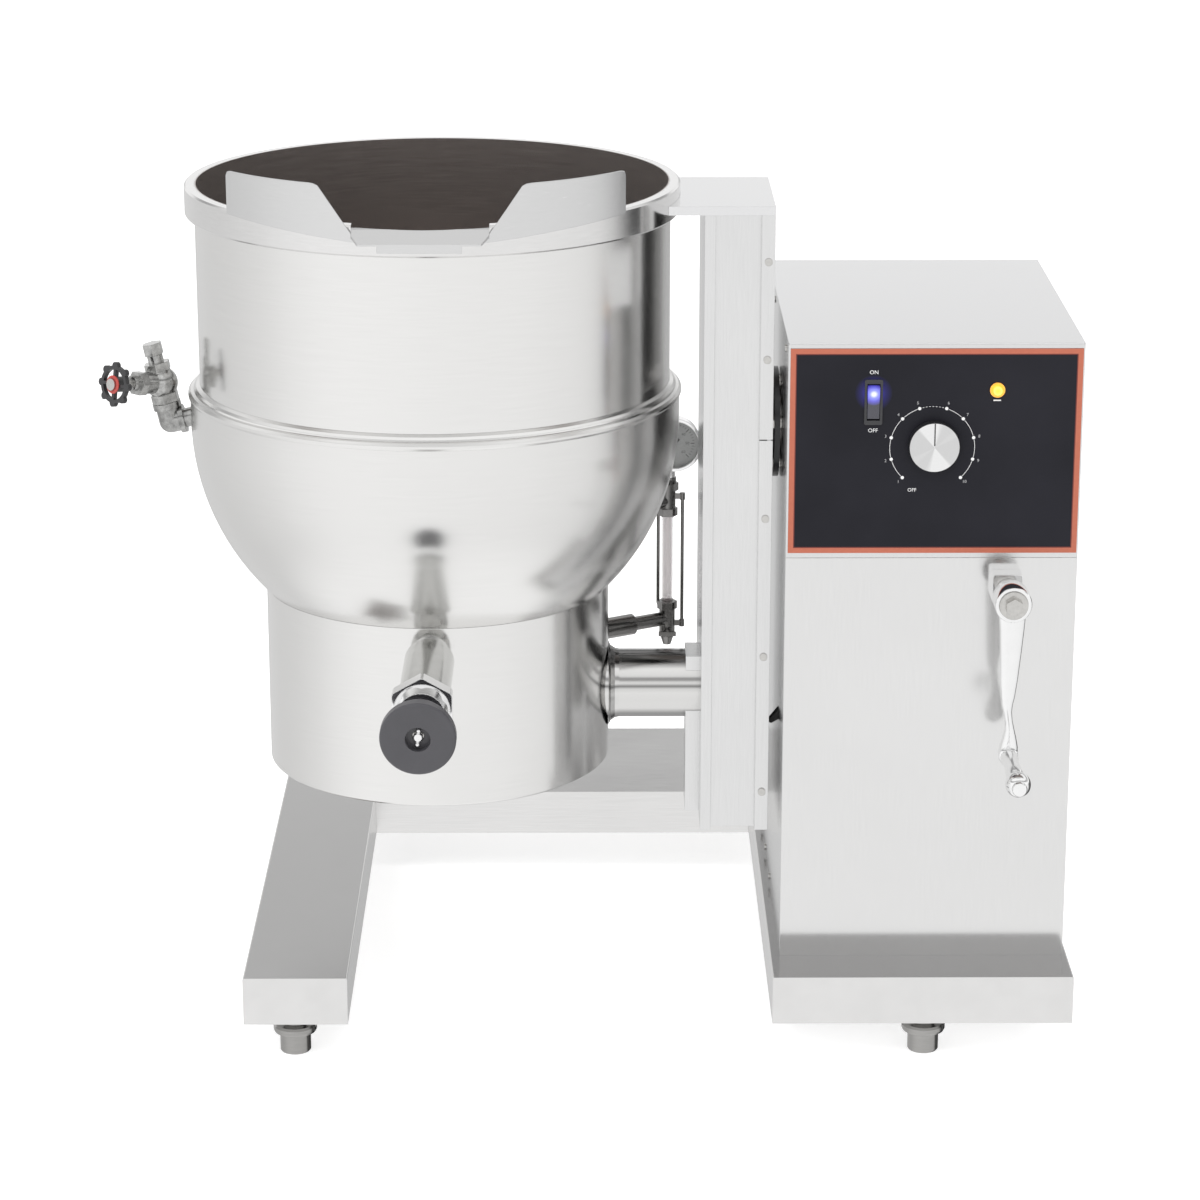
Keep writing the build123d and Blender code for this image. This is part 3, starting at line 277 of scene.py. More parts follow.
# ---------------------------------------------------------------- floor
bm = bmesh.new()
bmesh.ops.create_grid(bm, x_segments=8, y_segments=8, size=30.0)
me = bpy.data.meshes.new("floor")
bm.to_mesh(me)
bm.free()
floor = bpy.data.objects.new("floor", me)
scene.collection.objects.link(floor)
floor.visible_glossy = False
m, t, b = new_material("floor_paper")
t.link(t.ramp(t.noise(t.coords(), 1.3, 2.0), ((0.3, 0.78), (0.7, 0.80))), b.inputs["Base Color"])
b.inputs["Roughness"].default_value = 0.9
b.inputs["Specular IOR Level"].default_value = 0.1
b.inputs["Emission Color"].default_value = (1.0, 1.0, 1.0, 1)
b.inputs["Emission Strength"].default_value = 0.62
me.materials.append(m)

# ---------------------------------------------------------------- materials of the CAD nodes
STEEL = (0.78, 0.775, 0.765)
M = {}
# painted shade: the bowl's inside is painted darker and warmer than the outer steel
M["inside"] = steel("steel_inside_painted_shade", (0.52, 0.48, 0.455), 0.30, (1, 1, 22), 26.0, 0.05, 0.10, 0.03)
M["polish"] = steel("steel_polished", STEEL, 0.20, (1, 1, 26), 20.0, 0.02, 0.010, 0.015, aniso=0.55, tangent="Z")
M["housing"] = steel("steel_housing", STEEL, 0.15, (1, 1, 26), 24.0, 0.02, 0.015, 0.015, aniso=0.55, tangent="Z")
M["rim"] = steel("steel_rim", (0.76, 0.755, 0.75), 0.16, (1, 1, 8), 60.0, 0.05, 0.06, 0.03)
M["lip"] = steel("steel_lip", (0.68, 0.68, 0.68), 0.26, (1, 1, 10), 70.0, 0.03, 0.03, 0.02)
M["tube"] = steel("steel_tube", STEEL, 0.09, (14, 1, 1), 40.0, 0.04, 0.03, 0.02)
M["satin"] = steel("steel_satin", (0.715, 0.715, 0.715), 0.22, (30, 30, 1), 30.0, 0.05, 0.05, 0.02)
# painted light: the tops are a lighter copy of the satin steel used on the sides
M["satin_top"] = steel("steel_satin_top_painted_light", (0.76, 0.76, 0.765), 0.20, (30, 1, 30), 30.0, 0.03, 0.03, 0.02)
M["column"] = steel("steel_column", (0.725, 0.725, 0.725), 0.20, (34, 34, 1), 30.0, 0.05, 0.05, 0.03)
M["base"] = steel("steel_base", (0.73, 0.725, 0.72), 0.20, (40, 1, 40), 26.0, 0.07, 0.07, 0.04)
M["cross"] = steel("steel_cross", (0.73, 0.725, 0.72), 0.20, (1, 40, 40), 26.0, 0.07, 0.07, 0.04)
M["machined"] = steel("steel_machined", (0.62, 0.61, 0.59), 0.24, (1, 1, 1), 240.0, 0.08, 0.10, 0.08)
M["chrome"] = steel("chrome_plate", (0.86, 0.86, 0.86), 0.07, (1, 1, 1), 60.0, 0.03, 0.02, 0.02, edge=0.0012)
M["valve"] = steel("steel_valve", (0.60, 0.60, 0.585), 0.15, (1, 1, 1), 70.0, 0.06, 0.05, 0.05, edge=0.0012)
M["galv"] = steel("plated_fitting", (0.50, 0.50, 0.49), 0.13, (1, 1, 1), 130.0, 0.10, 0.12, 0.30, edge=0.0012, wear=1.0)
M["dark_fit"] = steel("plated_dark_fitting", (0.24, 0.235, 0.23), 0.16, (1, 1, 1), 90.0, 0.08, 0.10, 0.10, edge=0.0010, wear=0.5)
M["feet"] = steel("steel_feet", (0.36, 0.355, 0.345), 0.12, (1, 1, 12), 90.0, 0.06, 0.06, 0.06)
M["bronze"] = steel("bronze_gear", (0.62, 0.42, 0.20), 0.34, (1, 1, 1), 200.0, 0.08, 0.1, 0.1)
M["black"] = plastic("plastic_black", (0.030, 0.030, 0.033), 0.42)
M["knob_black"] = plastic("phenolic_charcoal", (0.058, 0.057, 0.064), 0.38, 700.0, 0.10, 0.0010, coat=0.12, vary=0.10)
M["iron"] = plastic("painted_iron", (0.022, 0.022, 0.024), 0.36, 420.0, 0.35, 0.0008, coat=0.25)
M["rubber"] = plastic("rubber_black", (0.020, 0.020, 0.020), 0.75, 600.0, 0.3)

M["lower"] = steel("steel_lower_panel", (0.735, 0.733, 0.73), 0.14, (34, 34, 1), 30.0, 0.03, 0.02, 0.02)


def shaded_steel(name, color, rough, coord, stops, scale=30.0):
    """Steel whose tone is painted light and shade, following one object coordinate (metres) or the direction its
    surface faces.
    """
    m, t, b = new_material(name)
    b.inputs["Metallic"].default_value = 1.0
    tcn = t.node("ShaderNodeTexCoord")
    sp = t.node("ShaderNodeSeparateXYZ")
    if coord == "up":
        t.link(tcn.outputs["Normal"], sp.inputs[0])
        v = sp.outputs[2]
    else:
        t.link(tcn.outputs["Object"], sp.inputs[0])
        v = t.math("DIVIDE", t.math("SUBTRACT", sp.outputs[coord[0]], coord[1]), coord[2] - coord[1], clamp=True)
    grain = t.noise(t.coords((1, 40, 1) if coord == "up" else (40, 1, 40)), scale, 5.0, 0.6)
    painted_light_tone = t.ramp(v, stops)
    fleck = t.ramp(grain, ((0.3, tuple(c * 0.95 for c in color)), (0.7, color)))
    t.link(t.mix(1.0, fleck, painted_light_tone, "MULTIPLY"), b.inputs["Base Color"])
    t.link(t.math("ADD", t.math("MULTIPLY", grain, 0.06), rough), b.inputs["Roughness"])
    t.link(t.bump(grain, 0.03, 0.0002), b.inputs["Normal"])
    return m


# painted shade: the platform's upward-facing tops are painted darker than its sides
M["platform"] = shaded_steel("steel_platform_painted_shade", (0.74, 0.735, 0.73), 0.16, "up", ((0.0, 1.0), (0.6, 1.0), (0.9, 0.78), (1.0, 0.78)))
M["legs"] = shaded_steel("steel_legs", (0.74, 0.735, 0.73), 0.18, "up", ((0.0, 1.0), (0.6, 1.0), (0.9, 1.0), (1.0, 1.0)))
COND_Z = 0.364
# painted reflection: dark and bright bands across the tube's height stand in for the stripes a polished tube reflects
M["conduit"] = shaded_steel("steel_conduit_painted_reflection", STEEL, 0.12, (2, COND_Z - 0.038, COND_Z + 0.038),
                           ((0.0, 0.14), (0.14, 0.30), (0.24, 0.85), (0.50, 0.92), (0.56, 0.80), (0.60, 0.26), (0.64, 0.80), (0.84, 0.92), (0.92, 0.45), (1.0, 0.20)), 60.0)
SLOT_OF = {}
for row in frame["record"].get("materials", []):
    SLOT_OF[row.get("slot")] = row


def dress(material, *names):
    for n in names:
        o = NODE[n]
        if not o.material_slots:
            o.data.materials.append(material)
        for s in o.material_slots:
            s.link = "DATA"
            s.material = material


next(n for n in M["inside"].node_tree.nodes if n.type == "BSDF_PRINCIPLED").inputs["Metallic"].default_value = 0.90
dress(M["inside"], "kettle_bowl")

# the straight wall is bright outside; inside it is painted darker and warmer, a painted shade of the bowl's hollow
m, t, b = new_material("steel_wall")
b.inputs["Metallic"].default_value = 1.0
tcn = t.node("ShaderNodeTexCoord")
off = t.node("ShaderNodeVectorMath", operation="SUBTRACT")
t.link(tcn.outputs["Object"], off.inputs[0])
off.inputs[1].default_value = (SX, SY, 0.0)
sp = t.node("ShaderNodeSeparateXYZ")
t.link(off.outputs[0], sp.inputs[0])
rad = t.math("SQRT", t.math("ADD", t.math("POWER", sp.outputs[0], 2.0), t.math("POWER", sp.outputs[1], 2.0)))
outer = t.math("GREATER_THAN", rad, 0.2553)
t.link(t.math("ADD", t.math("MULTIPLY", outer, 0.10), 0.90), b.inputs["Metallic"])
streak = t.noise(t.coords((1, 1, 26)), 20.0, 6.0, 0.62)
col_out = t.ramp(streak, ((0.3, (0.768, 0.763, 0.753)), (0.7, (0.79, 0.785, 0.775))))
col_in_painted_shade = t.ramp(streak, ((0.3, (0.49, 0.45, 0.43)), (0.7, (0.56, 0.52, 0.50))))
t.link(t.mix(outer, col_in_painted_shade, col_out), b.inputs["Base Color"])
r_out = t.math("ADD", t.math("MULTIPLY", streak, 0.02), 0.16)
r_in = t.math("ADD", t.math("MULTIPLY", streak, 0.10), 0.18)
t.link(t.math("ADD", t.math("MULTIPLY", r_out, outer), t.math("MULTIPLY", r_in, t.math("SUBTRACT", 1.0, outer))), b.inputs["Roughness"])
t.link(t.bump(streak, 0.008, 0.0002), b.inputs["Normal"])
tn = t.node("ShaderNodeTangent", direction_type="RADIAL", axis="Z")
t.link(tn.outputs[0], b.inputs["Tangent"])
b.inputs["Anisotropic"].default_value = 0.6
dress(m, "bowl_wall")
dress(M["polish"], "jacket_shell", "jacket_ring")
dress(M["housing"], "element_housing", "housing_cover")
dress(M["rim"], "rim_band")
dress(M["lip"], "pouring_lip")
dress(M["conduit"], "conduit_tube")
dress(M["satin"], "console_shell", "control_panel")
dress(M["lower"], "lower_front_panel")
dress(M["satin_top"], "console_top", "column_top_plate")
dress(M["column"], "column_frame", "column_cover_upper", "column_cover_lower")
dress(M["legs"], "left_leg")
dress(M["platform"], "right_platform")
dress(M["cross"], "rear_crossmember")
dress(M["machined"], "sump_flange", "heating_elements", "trunnion_shaft", "worm_shaft", "column_screws", "console_screws",
      "flange_bolts", "drawoff_stem", "fill_stem", "safety_valve_lever", "crank_bolt")
dress(M["feet"], "levelling_feet")
dress(M["chrome"], "crank_arm", "crank_grip", "drawoff_nut", "crank_bearing_block")
dress(M["valve"], "drawoff_tube")
dress(M["galv"], "fill_elbow", "fill_valve_body", "safety_valve")
dress(M["dark_fit"], "sight_fittings", "drain_cock")
dress(M["black"], "thermostat_body", "rocker_bezel", "power_gland")
dress(M["knob_black"], "drawoff_knob")
dress(M["iron"], "trunnion_flange", "fill_handwheel", "tilt_bearings", "trunnion_stand")
dress(M["rubber"], "tilt_bumper")
dress(M["bronze"], "worm_wheel")
dress(M["chrome"], "gauge_case")
dress(M["iron"], "gauge_needle")

# printed overlay: fine texture, soft sheen, the blue light of the switch on it
m, t, b = new_material("overlay_film")
grain = t.noise(t.coords(), 1400.0, 2.0, 0.6)
slow = t.noise(t.coords((1, 1, 1), (3, 1, 2)), 7.0, 3.0, 0.5)
t.link(t.ramp(slow, ((0.3, (0.011, 0.011, 0.015)), (0.7, (0.017, 0.017, 0.023)))), b.inputs["Base Color"])
b.inputs["Specular IOR Level"].default_value = 0.14
t.link(t.math("ADD", t.math("MULTIPLY", slow, 0.16), 0.34, clamp=True), b.inputs["Roughness"])
t.link(t.bump(grain, 0.12, 0.0001), b.inputs["Normal"])
vec = t.node("ShaderNodeVectorMath", operation="DISTANCE")
tcn = t.node("ShaderNodeTexCoord")
t.link(tcn.outputs["Object"], vec.inputs[0])
vec.inputs[1].default_value = P(ROCK[0], OV_Y, ROCK[1] + 9.5)
glow = t.ramp(t.math("MULTIPLY", vec.outputs["Value"], 50.0), ((0.42, 1.0), (0.64, 0.42), (1.0, 0.0)))
t.link(t.mix(glow, (0, 0, 0), (0.10, 0.09, 0.75)), b.inputs["Emission Color"])
b.inputs["Emission Strength"].default_value = 0.35
dress(m, "control_overlay")

# rocker: smoked plastic, lit from inside at its top
m, t, b = new_material("rocker_lit")
b.inputs["Roughness"].default_value = 0.25
b.inputs["Coat Weight"].default_value = 0.3
b.inputs["Base Color"].default_value = (0.05, 0.05, 0.055, 1)
tcn = t.node("ShaderNodeTexCoord")
vec = t.node("ShaderNodeVectorMath", operation="DISTANCE")
t.link(tcn.outputs["Object"], vec.inputs[0])
vec.inputs[1].default_value = P(ROCK[0], OV_Y - 4.5, ROCK[1] + 9.5)
glow = t.ramp(t.math("MULTIPLY", vec.outputs["Value"], 60.0), ((0.10, (0.85, 0.90, 1.0)), (0.26, (0.25, 0.28, 1.0)), (0.50, (0.08, 0.07, 0.60)), (0.78, (0, 0, 0.01))))
t.link(glow, b.inputs["Emission Color"])
b.inputs["Emission Strength"].default_value = 1.1
fine = t.noise(t.coords(), 500.0, 2.0)
t.link(t.bump(fine, 0.05, 0.0001, t.bevel(0.0006)), b.inputs["Normal"])
dress(m, "rocker_switch")

# pilot lamp
m, t, b = new_material("lamp_lens")
b.inputs["Roughness"].default_value = 0.18
b.inputs["Base Color"].default_value = (0.85, 0.42, 0.04, 1)
b.inputs["Coat Weight"].default_value = 0.6
tcn = t.node("ShaderNodeTexCoord")
vec = t.node("ShaderNodeVectorMath", operation="DISTANCE")
t.link(tcn.outputs["Object"], vec.inputs[0])
vec.inputs[1].default_value = P(LAMP[0], OV_Y - 5.8, LAMP[1])
glow = t.ramp(t.math("MULTIPLY", vec.outputs["Value"], 100.0), ((0.0, (0.75, 0.38, 0.02)), (0.16, (0.95, 0.55, 0.05)), (0.40, (1.0, 0.72, 0.20)), (0.62, (0.9, 0.42, 0.03)), (0.9, (0.25, 0.09, 0.01))))
t.link(glow, b.inputs["Emission Color"])
b.inputs["Emission Strength"].default_value = 0.8
fine = t.noise(t.coords(), 700.0, 2.0)
t.link(t.bump(fine, 0.05, 0.0001, t.bevel(0.0006)), b.inputs["Normal"])
dress(m, "pilot_lamp")

# turned aluminium knob; the bright and dark sectors on its face are painted reflection
m, t, b = new_material("knob_aluminium")
b.inputs["Metallic"].default_value = 1.0
tcn = t.node("ShaderNodeTexCoord")
off = t.node("ShaderNodeVectorMath", operation="SUBTRACT")
t.link(tcn.outputs["Object"], off.inputs[0])
off.inputs[1].default_value = P(DIAL[0], 0, DIAL[1])
sp = t.node("ShaderNodeSeparateXYZ")
t.link(off.outputs[0], sp.inputs[0])
rad = t.math("SQRT", t.math("ADD", t.math("POWER", sp.outputs[0], 2.0), t.math("POWER", sp.outputs[2], 2.0)))
cmb = t.node("ShaderNodeCombineXYZ")
t.link(rad, cmb.inputs[0])
rings = t.noise(cmb.outputs[0], 2600.0, 3.0, 0.7)
metal = t.math("LESS_THAN", sp.outputs[1], (OV_Y - 9.2) * 0.001)
metal = t.math("MULTIPLY", metal, t.math("LESS_THAN", rad, 0.0262))
face = t.ramp(rings, ((0.3, (0.74, 0.74, 0.74)), (0.7, (0.92, 0.92, 0.92))))
# painted reflection: cosine sectors around the axis darken the face between painted bright sectors
ang = t.math("ARCTAN2", sp.outputs[0], sp.outputs[2])
painted_sheen_fan = t.math("COSINE", t.math("MULTIPLY_ADD", ang, 4.0))
painted_sheen_fan.node.inputs[0].links[0].from_node.inputs[2].default_value = 1.6
wide = t.math("COSINE", t.math("MULTIPLY", ang, 2.0))
shade = t.math("ADD", t.math("MULTIPLY", wide, 0.5), t.math("MULTIPLY", painted_sheen_fan, 0.35))
face = t.mix(t.ramp(shade, ((0.0, 0.42), (0.30, 0.0))), face, (0.40, 0.40, 0.40))
t.link(t.mix(metal, (0.018, 0.018, 0.020), face), b.inputs["Base Color"])
t.link(metal, b.inputs["Metallic"])
t.link(t.math("ADD", t.math("MULTIPLY", rings, 0.10), 0.26, clamp=True), b.inputs["Roughness"])
b.inputs["Specular IOR Level"].default_value = 0.25
b.inputs["Anisotropic"].default_value = 0.80
tn = t.node("ShaderNodeTangent", direction_type="RADIAL", axis="Y")
t.link(tn.outputs[0], b.inputs["Tangent"])
t.link(t.bump(rings, 0.10, 0.0001, t.bevel(0.0008)), b.inputs["Normal"])
dress(m, "thermostat_knob")

# gauge lens: thin clear cover; sight glass: a tube faintly tinted
for nm, tint_c, alpha, node in (("lens_clear", (0.95, 0.97, 0.97), 0.10, "gauge_lens"), ("tube_glass", (0.80, 0.72, 0.72), 0.34, "sight_glass")):
    m, t, b = new_material(nm)
    sm = t.noise(t.coords(), 60.0, 2.0)
    t.link(t.ramp(sm, ((0.3, tuple(c * 0.96 for c in tint_c)), (0.7, tint_c))), b.inputs["Base Color"])
    t.link(t.math("MULTIPLY", sm, 0.08), b.inputs["Roughness"])
    b.inputs["Alpha"].default_value = alpha
    b.inputs["Specular IOR Level"].default_value = 0.5
    dress(m, node)


# ---------------------------------------------------------------- mesh helpers
def finish_piece(name, bm, body, material, smooth=True, replaces=(), matrix=None, sub=0, autosmooth=35):
    bmesh.ops.recalc_face_normals(bm, faces=bm.faces)
    me = bpy.data.meshes.new(name)
    bm.to_mesh(me)
    bm.free()
    o = bpy.data.objects.new(name, me)
    scene.collection.objects.link(o)
    if matrix is not None:
        me.transform(matrix)
    for mt in (material if isinstance(material, (list, tuple)) else [material]):
        me.materials.append(mt)
    if smooth:
        for p in me.polygons:
            p.use_smooth = True
        me.set_sharp_from_angle(angle=math.radians(autosmooth))
    if sub:
        md = o.modifiers.new("sub", "SUBSURF")
        md.levels = md.render_levels = sub
    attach(o, body)
    if replaces:
        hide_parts(*replaces)
    return o


def frame_at(origin, zdir, xdir=None):
    """Matrix of a local frame whose z runs along zdir, at a point in millimetres about the kettle's axis; local units are mm."""
    z = Vector(zdir).normalized()
    x = Vector(xdir) if xdir is not None else (Vector((1, 0, 0)) if abs(z.x) < 0.9 else Vector((0, 1, 0)))
    x = (x - z * x.dot(z)).normalized()
    y = z.cross(x)
    o = P(*origin)
    s = 0.001
    return Matrix(((x.x * s, y.x * s, z.x * s, o.x), (x.y * s, y.y * s, z.y * s, o.y), (x.z * s, y.z * s, z.z * s, o.z), (0, 0, 0, 1)))


def lathe(profile, n=64):
    """Revolves (r, z) points about z in mm. Points with r = 0 close the ends."""
    bm = bmesh.new()
    rings = []
    for r, z in profile:
        if r < 1e-6:
            rings.append([bm.verts.new((0, 0, z))])
        else:
            rings.append([bm.verts.new((r * math.cos(2 * math.pi * k / n), r * math.sin(2 * math.pi * k / n), z)) for k in range(n)])
    for a, b_ in zip(rings, rings[1:]):
        for k in range(n):
            k2 = (k + 1) % n
            if len(a) == 1 and len(b_) == 1:
                continue
            if len(a) == 1:
                bm.faces.new((a[0], b_[k], b_[k2]))
            elif len(b_) == 1:
                bm.faces.new((a[k], a[k2], b_[0]))
            else:
                bm.faces.new((a[k], a[k2], b_[k2], b_[k]))
    return bm


def plate(bm, pts, z0, z1):
    """Adds a prism over a 2-D outline (x, y) from z0 to z1."""
    lo = [bm.verts.new((x, y, z0)) for x, y in pts]
    hi = [bm.verts.new((x, y, z1)) for x, y in pts]
    bm.faces.new(lo[::-1])
    bm.faces.new(hi)
    n = len(pts)
    for k in range(n):
        k2 = (k + 1) % n
        bm.faces.new((lo[k], lo[k2], hi[k2], hi[k]))


def rect_frame(bm, x0, x1, y0, y1, w, z0, z1):
    """A flat rectangular frame w wide inside the given outline."""
    out = [(x0, y0), (x1, y0), (x1, y1), (x0, y1)]
    inn = [(x0 + w, y0 + w), (x1 - w, y0 + w), (x1 - w, y1 - w), (x0 + w, y1 - w)]
    vs = {}
    for key, pts in (("o", out), ("i", inn)):
        for z, tag in ((z0, "l"), (z1, "h")):
            vs[key + tag] = [bm.verts.new((x, y, z)) for x, y in pts]
    for k in range(4):
        k2 = (k + 1) % 4
        bm.faces.new((vs["oh"][k], vs["oh"][k2], vs["ih"][k2], vs["ih"][k]))
        bm.faces.new((vs["ol"][k2], vs["ol"][k], vs["il"][k], vs["il"][k2]))
        bm.faces.new((vs["ol"][k], vs["ol"][k2], vs["oh"][k2], vs["oh"][k]))
        bm.faces.new((vs["il"][k2], vs["il"][k], vs["ih"][k], vs["ih"][k2]))


def ink(name, color, rough=0.5, emit=0.0):
    m, t, b = new_material(name)
    n = t.noise(t.coords(), 260.0, 3.0, 0.6)
    t.link(t.ramp(n, ((0.2, tuple(c * 0.90 for c in color)), (0.8, color))), b.inputs["Base Color"])
    b.inputs["Roughness"].default_value = rough
    t.link(t.bump(n, 0.08, 0.0001), b.inputs["Normal"])
    return m


M["copper_ink"] = ink("ink_copper", (0.46, 0.125, 0.070), 0.5)
M["red_ink"] = ink("ink_dark_red", (0.14, 0.020, 0.014), 0.45)
M["white_ink"] = ink("ink_white", (0.80, 0.80, 0.80), 0.5)
M["grey_ink"] = ink("ink_grey", (0.42, 0.42, 0.43), 0.5)
M["red_paint"] = ink("paint_red", (0.42, 0.055, 0.045), 0.35)
M["dial_white"] = ink("dial_enamel", (0.78, 0.79, 0.78), 0.35)
M["dial_black"] = ink("dial_print", (0.03, 0.03, 0.03), 0.45)

# ---------------------------------------------------------------- control panel print
PAN = frame_at((0, OV_Y, 0), (0, -1, 0), (1, 0, 0))   # local x = X, local y = Z... checked below
# local z runs to the front, local x along +X, so local y = z cross x = +Z with a sign
PAN_SIGN = -1.0 if (Vector((0, -1, 0)).cross(Vector((1, 0, 0)))).z < 0 else 1.0


def pz(z):
    return z * PAN_SIGN


bm = bmesh.new()
rect_frame(bm, 379.5, 687.4, *sorted((pz(560.5), pz(783.6))), 5.6, 0.0, 0.14)
finish_piece("panel_border", bm, "stand", M["copper_ink"], smooth=False, matrix=PAN)
bm = bmesh.new()
rect_frame(bm, 385.1, 681.8, *sorted((pz(566.1), pz(778.0))), 1.1, 0.0, 0.12)
finish_piece("panel_border_line", bm, "stand", M["red_ink"], smooth=False, matrix=PAN)


def disc(bm, cx, cy, r, z0, z1, n=20):
    plate(bm, [(cx + r * math.cos(2 * math.pi * k / n), cy + r * math.sin(2 * math.pi * k / n)) for k in range(n)], z0, z1)


def bar(bm, p, q, w, z0, z1):
    p, q = Vector(p), Vector(q)
    d = (q - p).normalized()
    n = Vector((-d.y, d.x)) * w / 2
    plate(bm, [tuple(p - n), tuple(q - n), tuple(q + n), tuple(p + n)], z0, z1)


DOT_R = 44.9
DOTC = (530.6, 676.3)
DOTS = (-136.6, -106.2, -75.9, -45.5, -18.5, 18.5, 45.5, 75.9, 106.2, 136.6)


def dial_pt(deg, r):
    a = math.radians(deg)
    return (DOTC[0] + r * math.sin(a), pz(DOTC[1] + r * math.cos(a)))


bm = bmesh.new()
for a in DOTS:
    disc(bm, *dial_pt(a, DOT_R), 1.8, 0.0, 0.12, 16)
bm2 = bm
for a0, a1 in zip(DOTS, DOTS[1:]):
    if a0 == -18.5:
        for k in range(7):
            a = a0 + 5.2 + (a1 - a0 - 10.4) * k / 6
            bar(bm2, dial_pt(a - 1.0, DOT_R), dial_pt(a + 1.0, DOT_R), 0.5, 0.0, 0.10)
    else:
        n = 6
        for k in range(n):
            b0, b1 = a0 + 3 + (a1 - a0 - 6) * k / n, a0 + 3 + (a1 - a0 - 6) * (k + 1) / n
            bar(bm2, dial_pt(b0, DOT_R), dial_pt(b1, DOT_R), 0.5, 0.0, 0.10)
finish_piece("dial_scale", bm, "stand", M["white_ink"], smooth=False, matrix=PAN)


def text_piece(name, items, body, material, matrix, z0=0.02, depth=0.1):
    """Plain numbers and ON/OFF words as thin printed meshes. items: (text, x, y, size, turn in degrees)."""
    parts = []
    for s, x, y, size, turn in items:
        cu = bpy.data.curves.new(name, "FONT")
        cu.body = s
        cu.size = size
        cu.align_x, cu.align_y = "CENTER", "CENTER"
        cu.extrude = depth / 2
        cu.resolution_u = 3
        ob = bpy.data.objects.new("tmp_text", cu)
        scene.collection.objects.link(ob)
        bpy.context.view_layer.update()
        me = bpy.data.meshes.new_from_object(ob)
        # letters read from the front: local y is up when the panel's sign is +1
        fix = Matrix.Diagonal((1, PAN_SIGN, 1, 1)) if matrix is PAN else Matrix.Identity(4)
        me.transform(Matrix.Translation((x, y, z0 + depth / 2)) @ fix @ Matrix.Rotation(math.radians(turn), 4, "Z"))
        parts.append(me)
        bpy.data.objects.remove(ob)
        bpy.data.curves.remove(cu)
    bm = bmesh.new()
    for me in parts:
        bm.from_mesh(me)
        bpy.data.meshes.remove(me)
    return finish_piece(name, bm, body, material, smooth=False, matrix=matrix)


items = [(str(i + 1), *dial_pt(a, DOT_R + 6.2), 4.6, 0) for i, a in enumerate(DOTS)]
text_piece("dial_numbers", items, "stand", M["grey_ink"], PAN)
text_piece("dial_off", [("OFF", *dial_pt(-156.3, 50.6), 5.4, 0)], "stand", M["white_ink"], PAN)
text_piece("switch_words", [("ON", ROCK[0], pz(ROCK[1] + 32.0), 6.0, 0), ("OFF", ROCK[0], pz(ROCK[1] - 31.0), 6.0, 0)],
           "stand", M["white_ink"], PAN)
bm = bmesh.new()
bar(bm, (LAMP[0] - 4, pz(LAMP[1] - 11.2)), (LAMP[0] + 4, pz(LAMP[1] - 11.2)), 1.4, 0.0, 0.10)
finish_piece("lamp_mark", bm, "stand", M["white_ink"], smooth=False, matrix=PAN)

# pointer on the knob
KNB = frame_at((DIAL[0], OV_Y - 11.0, DIAL[1]), (0, -1, 0), (1, 0, 0))
bm = bmesh.new()
bar(bm, (0, pz(2.0)), (0, pz(25.6)), 1.15, -0.45, 0.05)
finish_piece("knob_pointer", bm, "thermostat", M["dial_black"], smooth=False, matrix=KNB)

# ---------------------------------------------------------------- gauge dial
GF = frame_at(tuple(GAUGE - Vector((0, 0.25, 0))), (0, -1, 0), (1, 0, 0))
bm = lathe([(0, -0.2), (26.8, -0.2), (27.3, 0.0), (27.3, 0.25), (0, 0.25)], 72)
finish_piece("gauge_dial", bm, "kettle", M["dial_white"], matrix=GF, autosmooth=30)
bm = bmesh.new()
for k in range(31):
    a = math.radians(-135 + 9 * k)
    r0 = 18.5 if k % 5 == 0 else 20.5
    p = (r0 * math.sin(a), pz(r0 * math.cos(a)))
    q = (23.0 * math.sin(a), pz(23.0 * math.cos(a)))
    bar(bm, p, q, 0.9 if k % 5 == 0 else 0.45, 0.25, 0.38)
finish_piece("gauge_ticks", bm, "kettle", M["dial_black"], smooth=False, matrix=GF)
items = []
for k in range(7):
    a = math.radians(-135 + 45 * k)
    items.append((str(10 * k), 14.6 * math.sin(a), pz(14.6 * math.cos(a)), 4.6, 0))
cu_fix = GF.copy()
text_piece("gauge_numbers", [(s, x, y, z, r) for s, x, y, z, r in items], "kettle", M["dial_black"], cu_fix, z0=0.27)

# ---------------------------------------------------------------- red centre of the handwheel
HW = frame_at(tuple(FC + FW * 70.2), tuple(FW))
bm = lathe([(0, -1.2), (9.4, -1.2), (9.9, -0.6), (9.9, 0.3), (9.2, 0.9), (7.4, 1.2), (7.0, 0.8), (0, 0.8)], 48)
finish_piece("handwheel_badge", bm, "fill_handwheel", M["red_paint"], matrix=HW)


# ---------------------------------------------------------------- metal pin in the recess of the draw-off knob
KN = frame_at(tuple(DO_P + DO_D * (KNOB_S - 9.0)), tuple(DO_D), (1, 0, 0))
bm = lathe([(0, -0.6), (4.6, -0.6), (5.0, 0.2), (5.0, 3.2), (4.0, 4.6), (0, 5.4)], 28)
for sgn in (-1, 1):
    for k, (r, dz) in enumerate(((2.1, 0.0), (2.7, 3.4), (2.9, 5.6), (2.3, 7.6))):
        pass
    lobe = lathe([(0, -3.0), (1.6, -2.7), (2.7, -1.4), (3.0, 0.2), (2.5, 2.0), (1.2, 3.0), (0, 3.1)], 20)
    lobe.transform(Matrix.Translation((sgn * 0.7, sgn * 7.6, 2.6)))
    tmp = bpy.data.meshes.new("tmp_lobe")
    lobe.to_mesh(tmp)
    lobe.free()
    bm.from_mesh(tmp)
    bpy.data.meshes.remove(tmp)
bar(bm, (-0.7, -8.2), (0.7, 8.2), 3.4, 0.6, 4.0)
finish_piece("drawoff_pin", bm, "drawoff_knob", M["chrome"], matrix=KN, autosmooth=40)

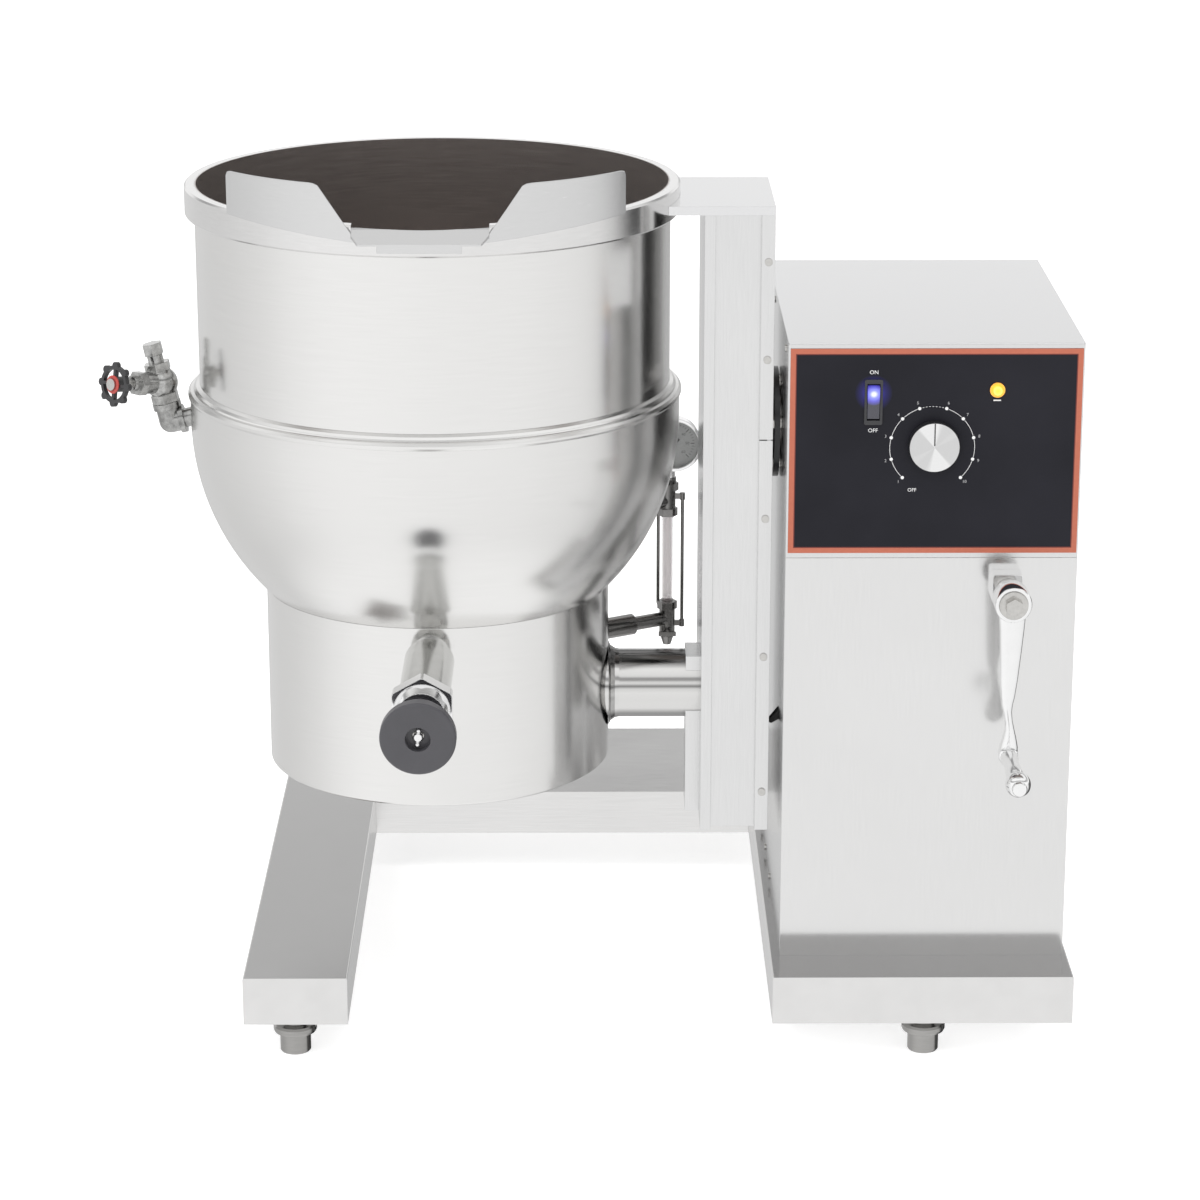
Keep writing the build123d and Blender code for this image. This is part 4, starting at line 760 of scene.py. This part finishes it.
# ---------------------------------------------------------------- forged crank arm
def loft(bm, sections, n=28):
    """Sections (z, cx, cy, half width, half thickness) along -Z, super-elliptic and capped at both ends."""
    rings = []
    for z, cx, cy, hw, ht in sections:
        ring = []
        for k in range(n):
            a = 2 * math.pi * k / n
            c, s_ = math.cos(a), math.sin(a)
            e = 0.72
            ring.append(bm.verts.new((cx + hw * math.copysign(abs(c) ** e, c), cy + ht * math.copysign(abs(s_) ** e, s_), z)))
        rings.append(ring)
    for p, q in zip(rings, rings[1:]):
        for k in range(n):
            k2 = (k + 1) % n
            bm.faces.new((p[k], p[k2], q[k2], q[k]))
    bm.faces.new(rings[0])
    bm.faces.new(rings[-1][::-1])


def merge(bm, other, matrix):
    other.transform(matrix)
    tmp = bpy.data.meshes.new("tmp_merge")
    other.to_mesh(tmp)
    other.free()
    bm.from_mesh(tmp)
    bpy.data.meshes.remove(tmp)


CR = frame_at((CRANK_X, HUB_Y, CRANK_Z), (0, 0, 1), (1, 0, 0))      # local x = X, y = Y, z = Z, in mm
bm = bmesh.new()
loft(bm, [(-6, 0, 16, 14.2, 4.6), (-17, 0, 16, 13.9, 5.2), (-30, 0, 15.8, 13.0, 5.4), (-55, -0.6, 15.4, 11.4, 5.2), (-85, -1.6, 15.0, 9.4, 4.9),
          (-103, -2.3, 15.0, 7.7, 4.9), (-112, -2.6, 15.2, 6.1, 5.0), (-120, -1.9, 15.6, 4.7, 5.2), (-130, -0.4, 16.0, 4.3, 5.2), (-140, 0.9, 16.2, 5.3, 5.6),
          (-149, 1.0, 16.0, 7.4, 6.6), (-158, 0.6, 16.0, 9.6, 7.6), (-168, 0.2, 16.0, 10.6, 8.2), (-175, 0.0, 16.0, 9.0, 7.4), (-179, 0.0, 16.0, 5.0, 4.4)])
FRONT = Matrix.Rotation(math.radians(90), 4, "X")                   # lathe axis z turned to point along -Y
hub = lathe([(12.0, -36), (19.0, -36), (19.6, -35), (19.6, -8.0), (18.8, -6.6), (16.4, -6.0), (15.6, -6.3), (12.0, -6.3), (12.0, -36)], 56)
merge(bm, hub, FRONT)
pin = lathe([(0, -24), (6.5, -24), (10.0, -22), (10.0, -8.5), (8.2, -7.0), (5.0, -6.4), (5.0, 91.6), (7.6, 92.0), (8.0, 93.0), (8.0, 95.6), (7.0, 96.9), (0, 97.0)], 40)
merge(bm, pin, Matrix.Translation((0, 0, -ARM_L)) @ FRONT)
finish_piece("crank_arm_forged", bm, "crank", M["chrome"], replaces=("crank_arm",), matrix=CR, autosmooth=42)

# ball-ended grip
bm = lathe([(5.10, -4.6), (8.2, -4.4), (9.4, -2.6), (9.6, 2.0), (8.6, 8.0), (8.2, 22.0), (8.8, 40.0), (9.3, 52.0), (8.2, 60.0), (7.0, 64.5), (7.4, 67.0),
            (10.0, 69.6), (12.3, 73.2), (13.4, 78.0), (13.4, 81.6), (12.4, 85.8), (10.4, 89.2), (8.1, 91.2), (5.10, 91.6), (5.10, -4.6)], 64)
finish_piece("crank_grip_turned", bm, "grip", M["chrome"], replaces=("crank_grip",),
             matrix=CR @ Matrix.Translation((0, 0, -ARM_L)) @ FRONT, autosmooth=42)
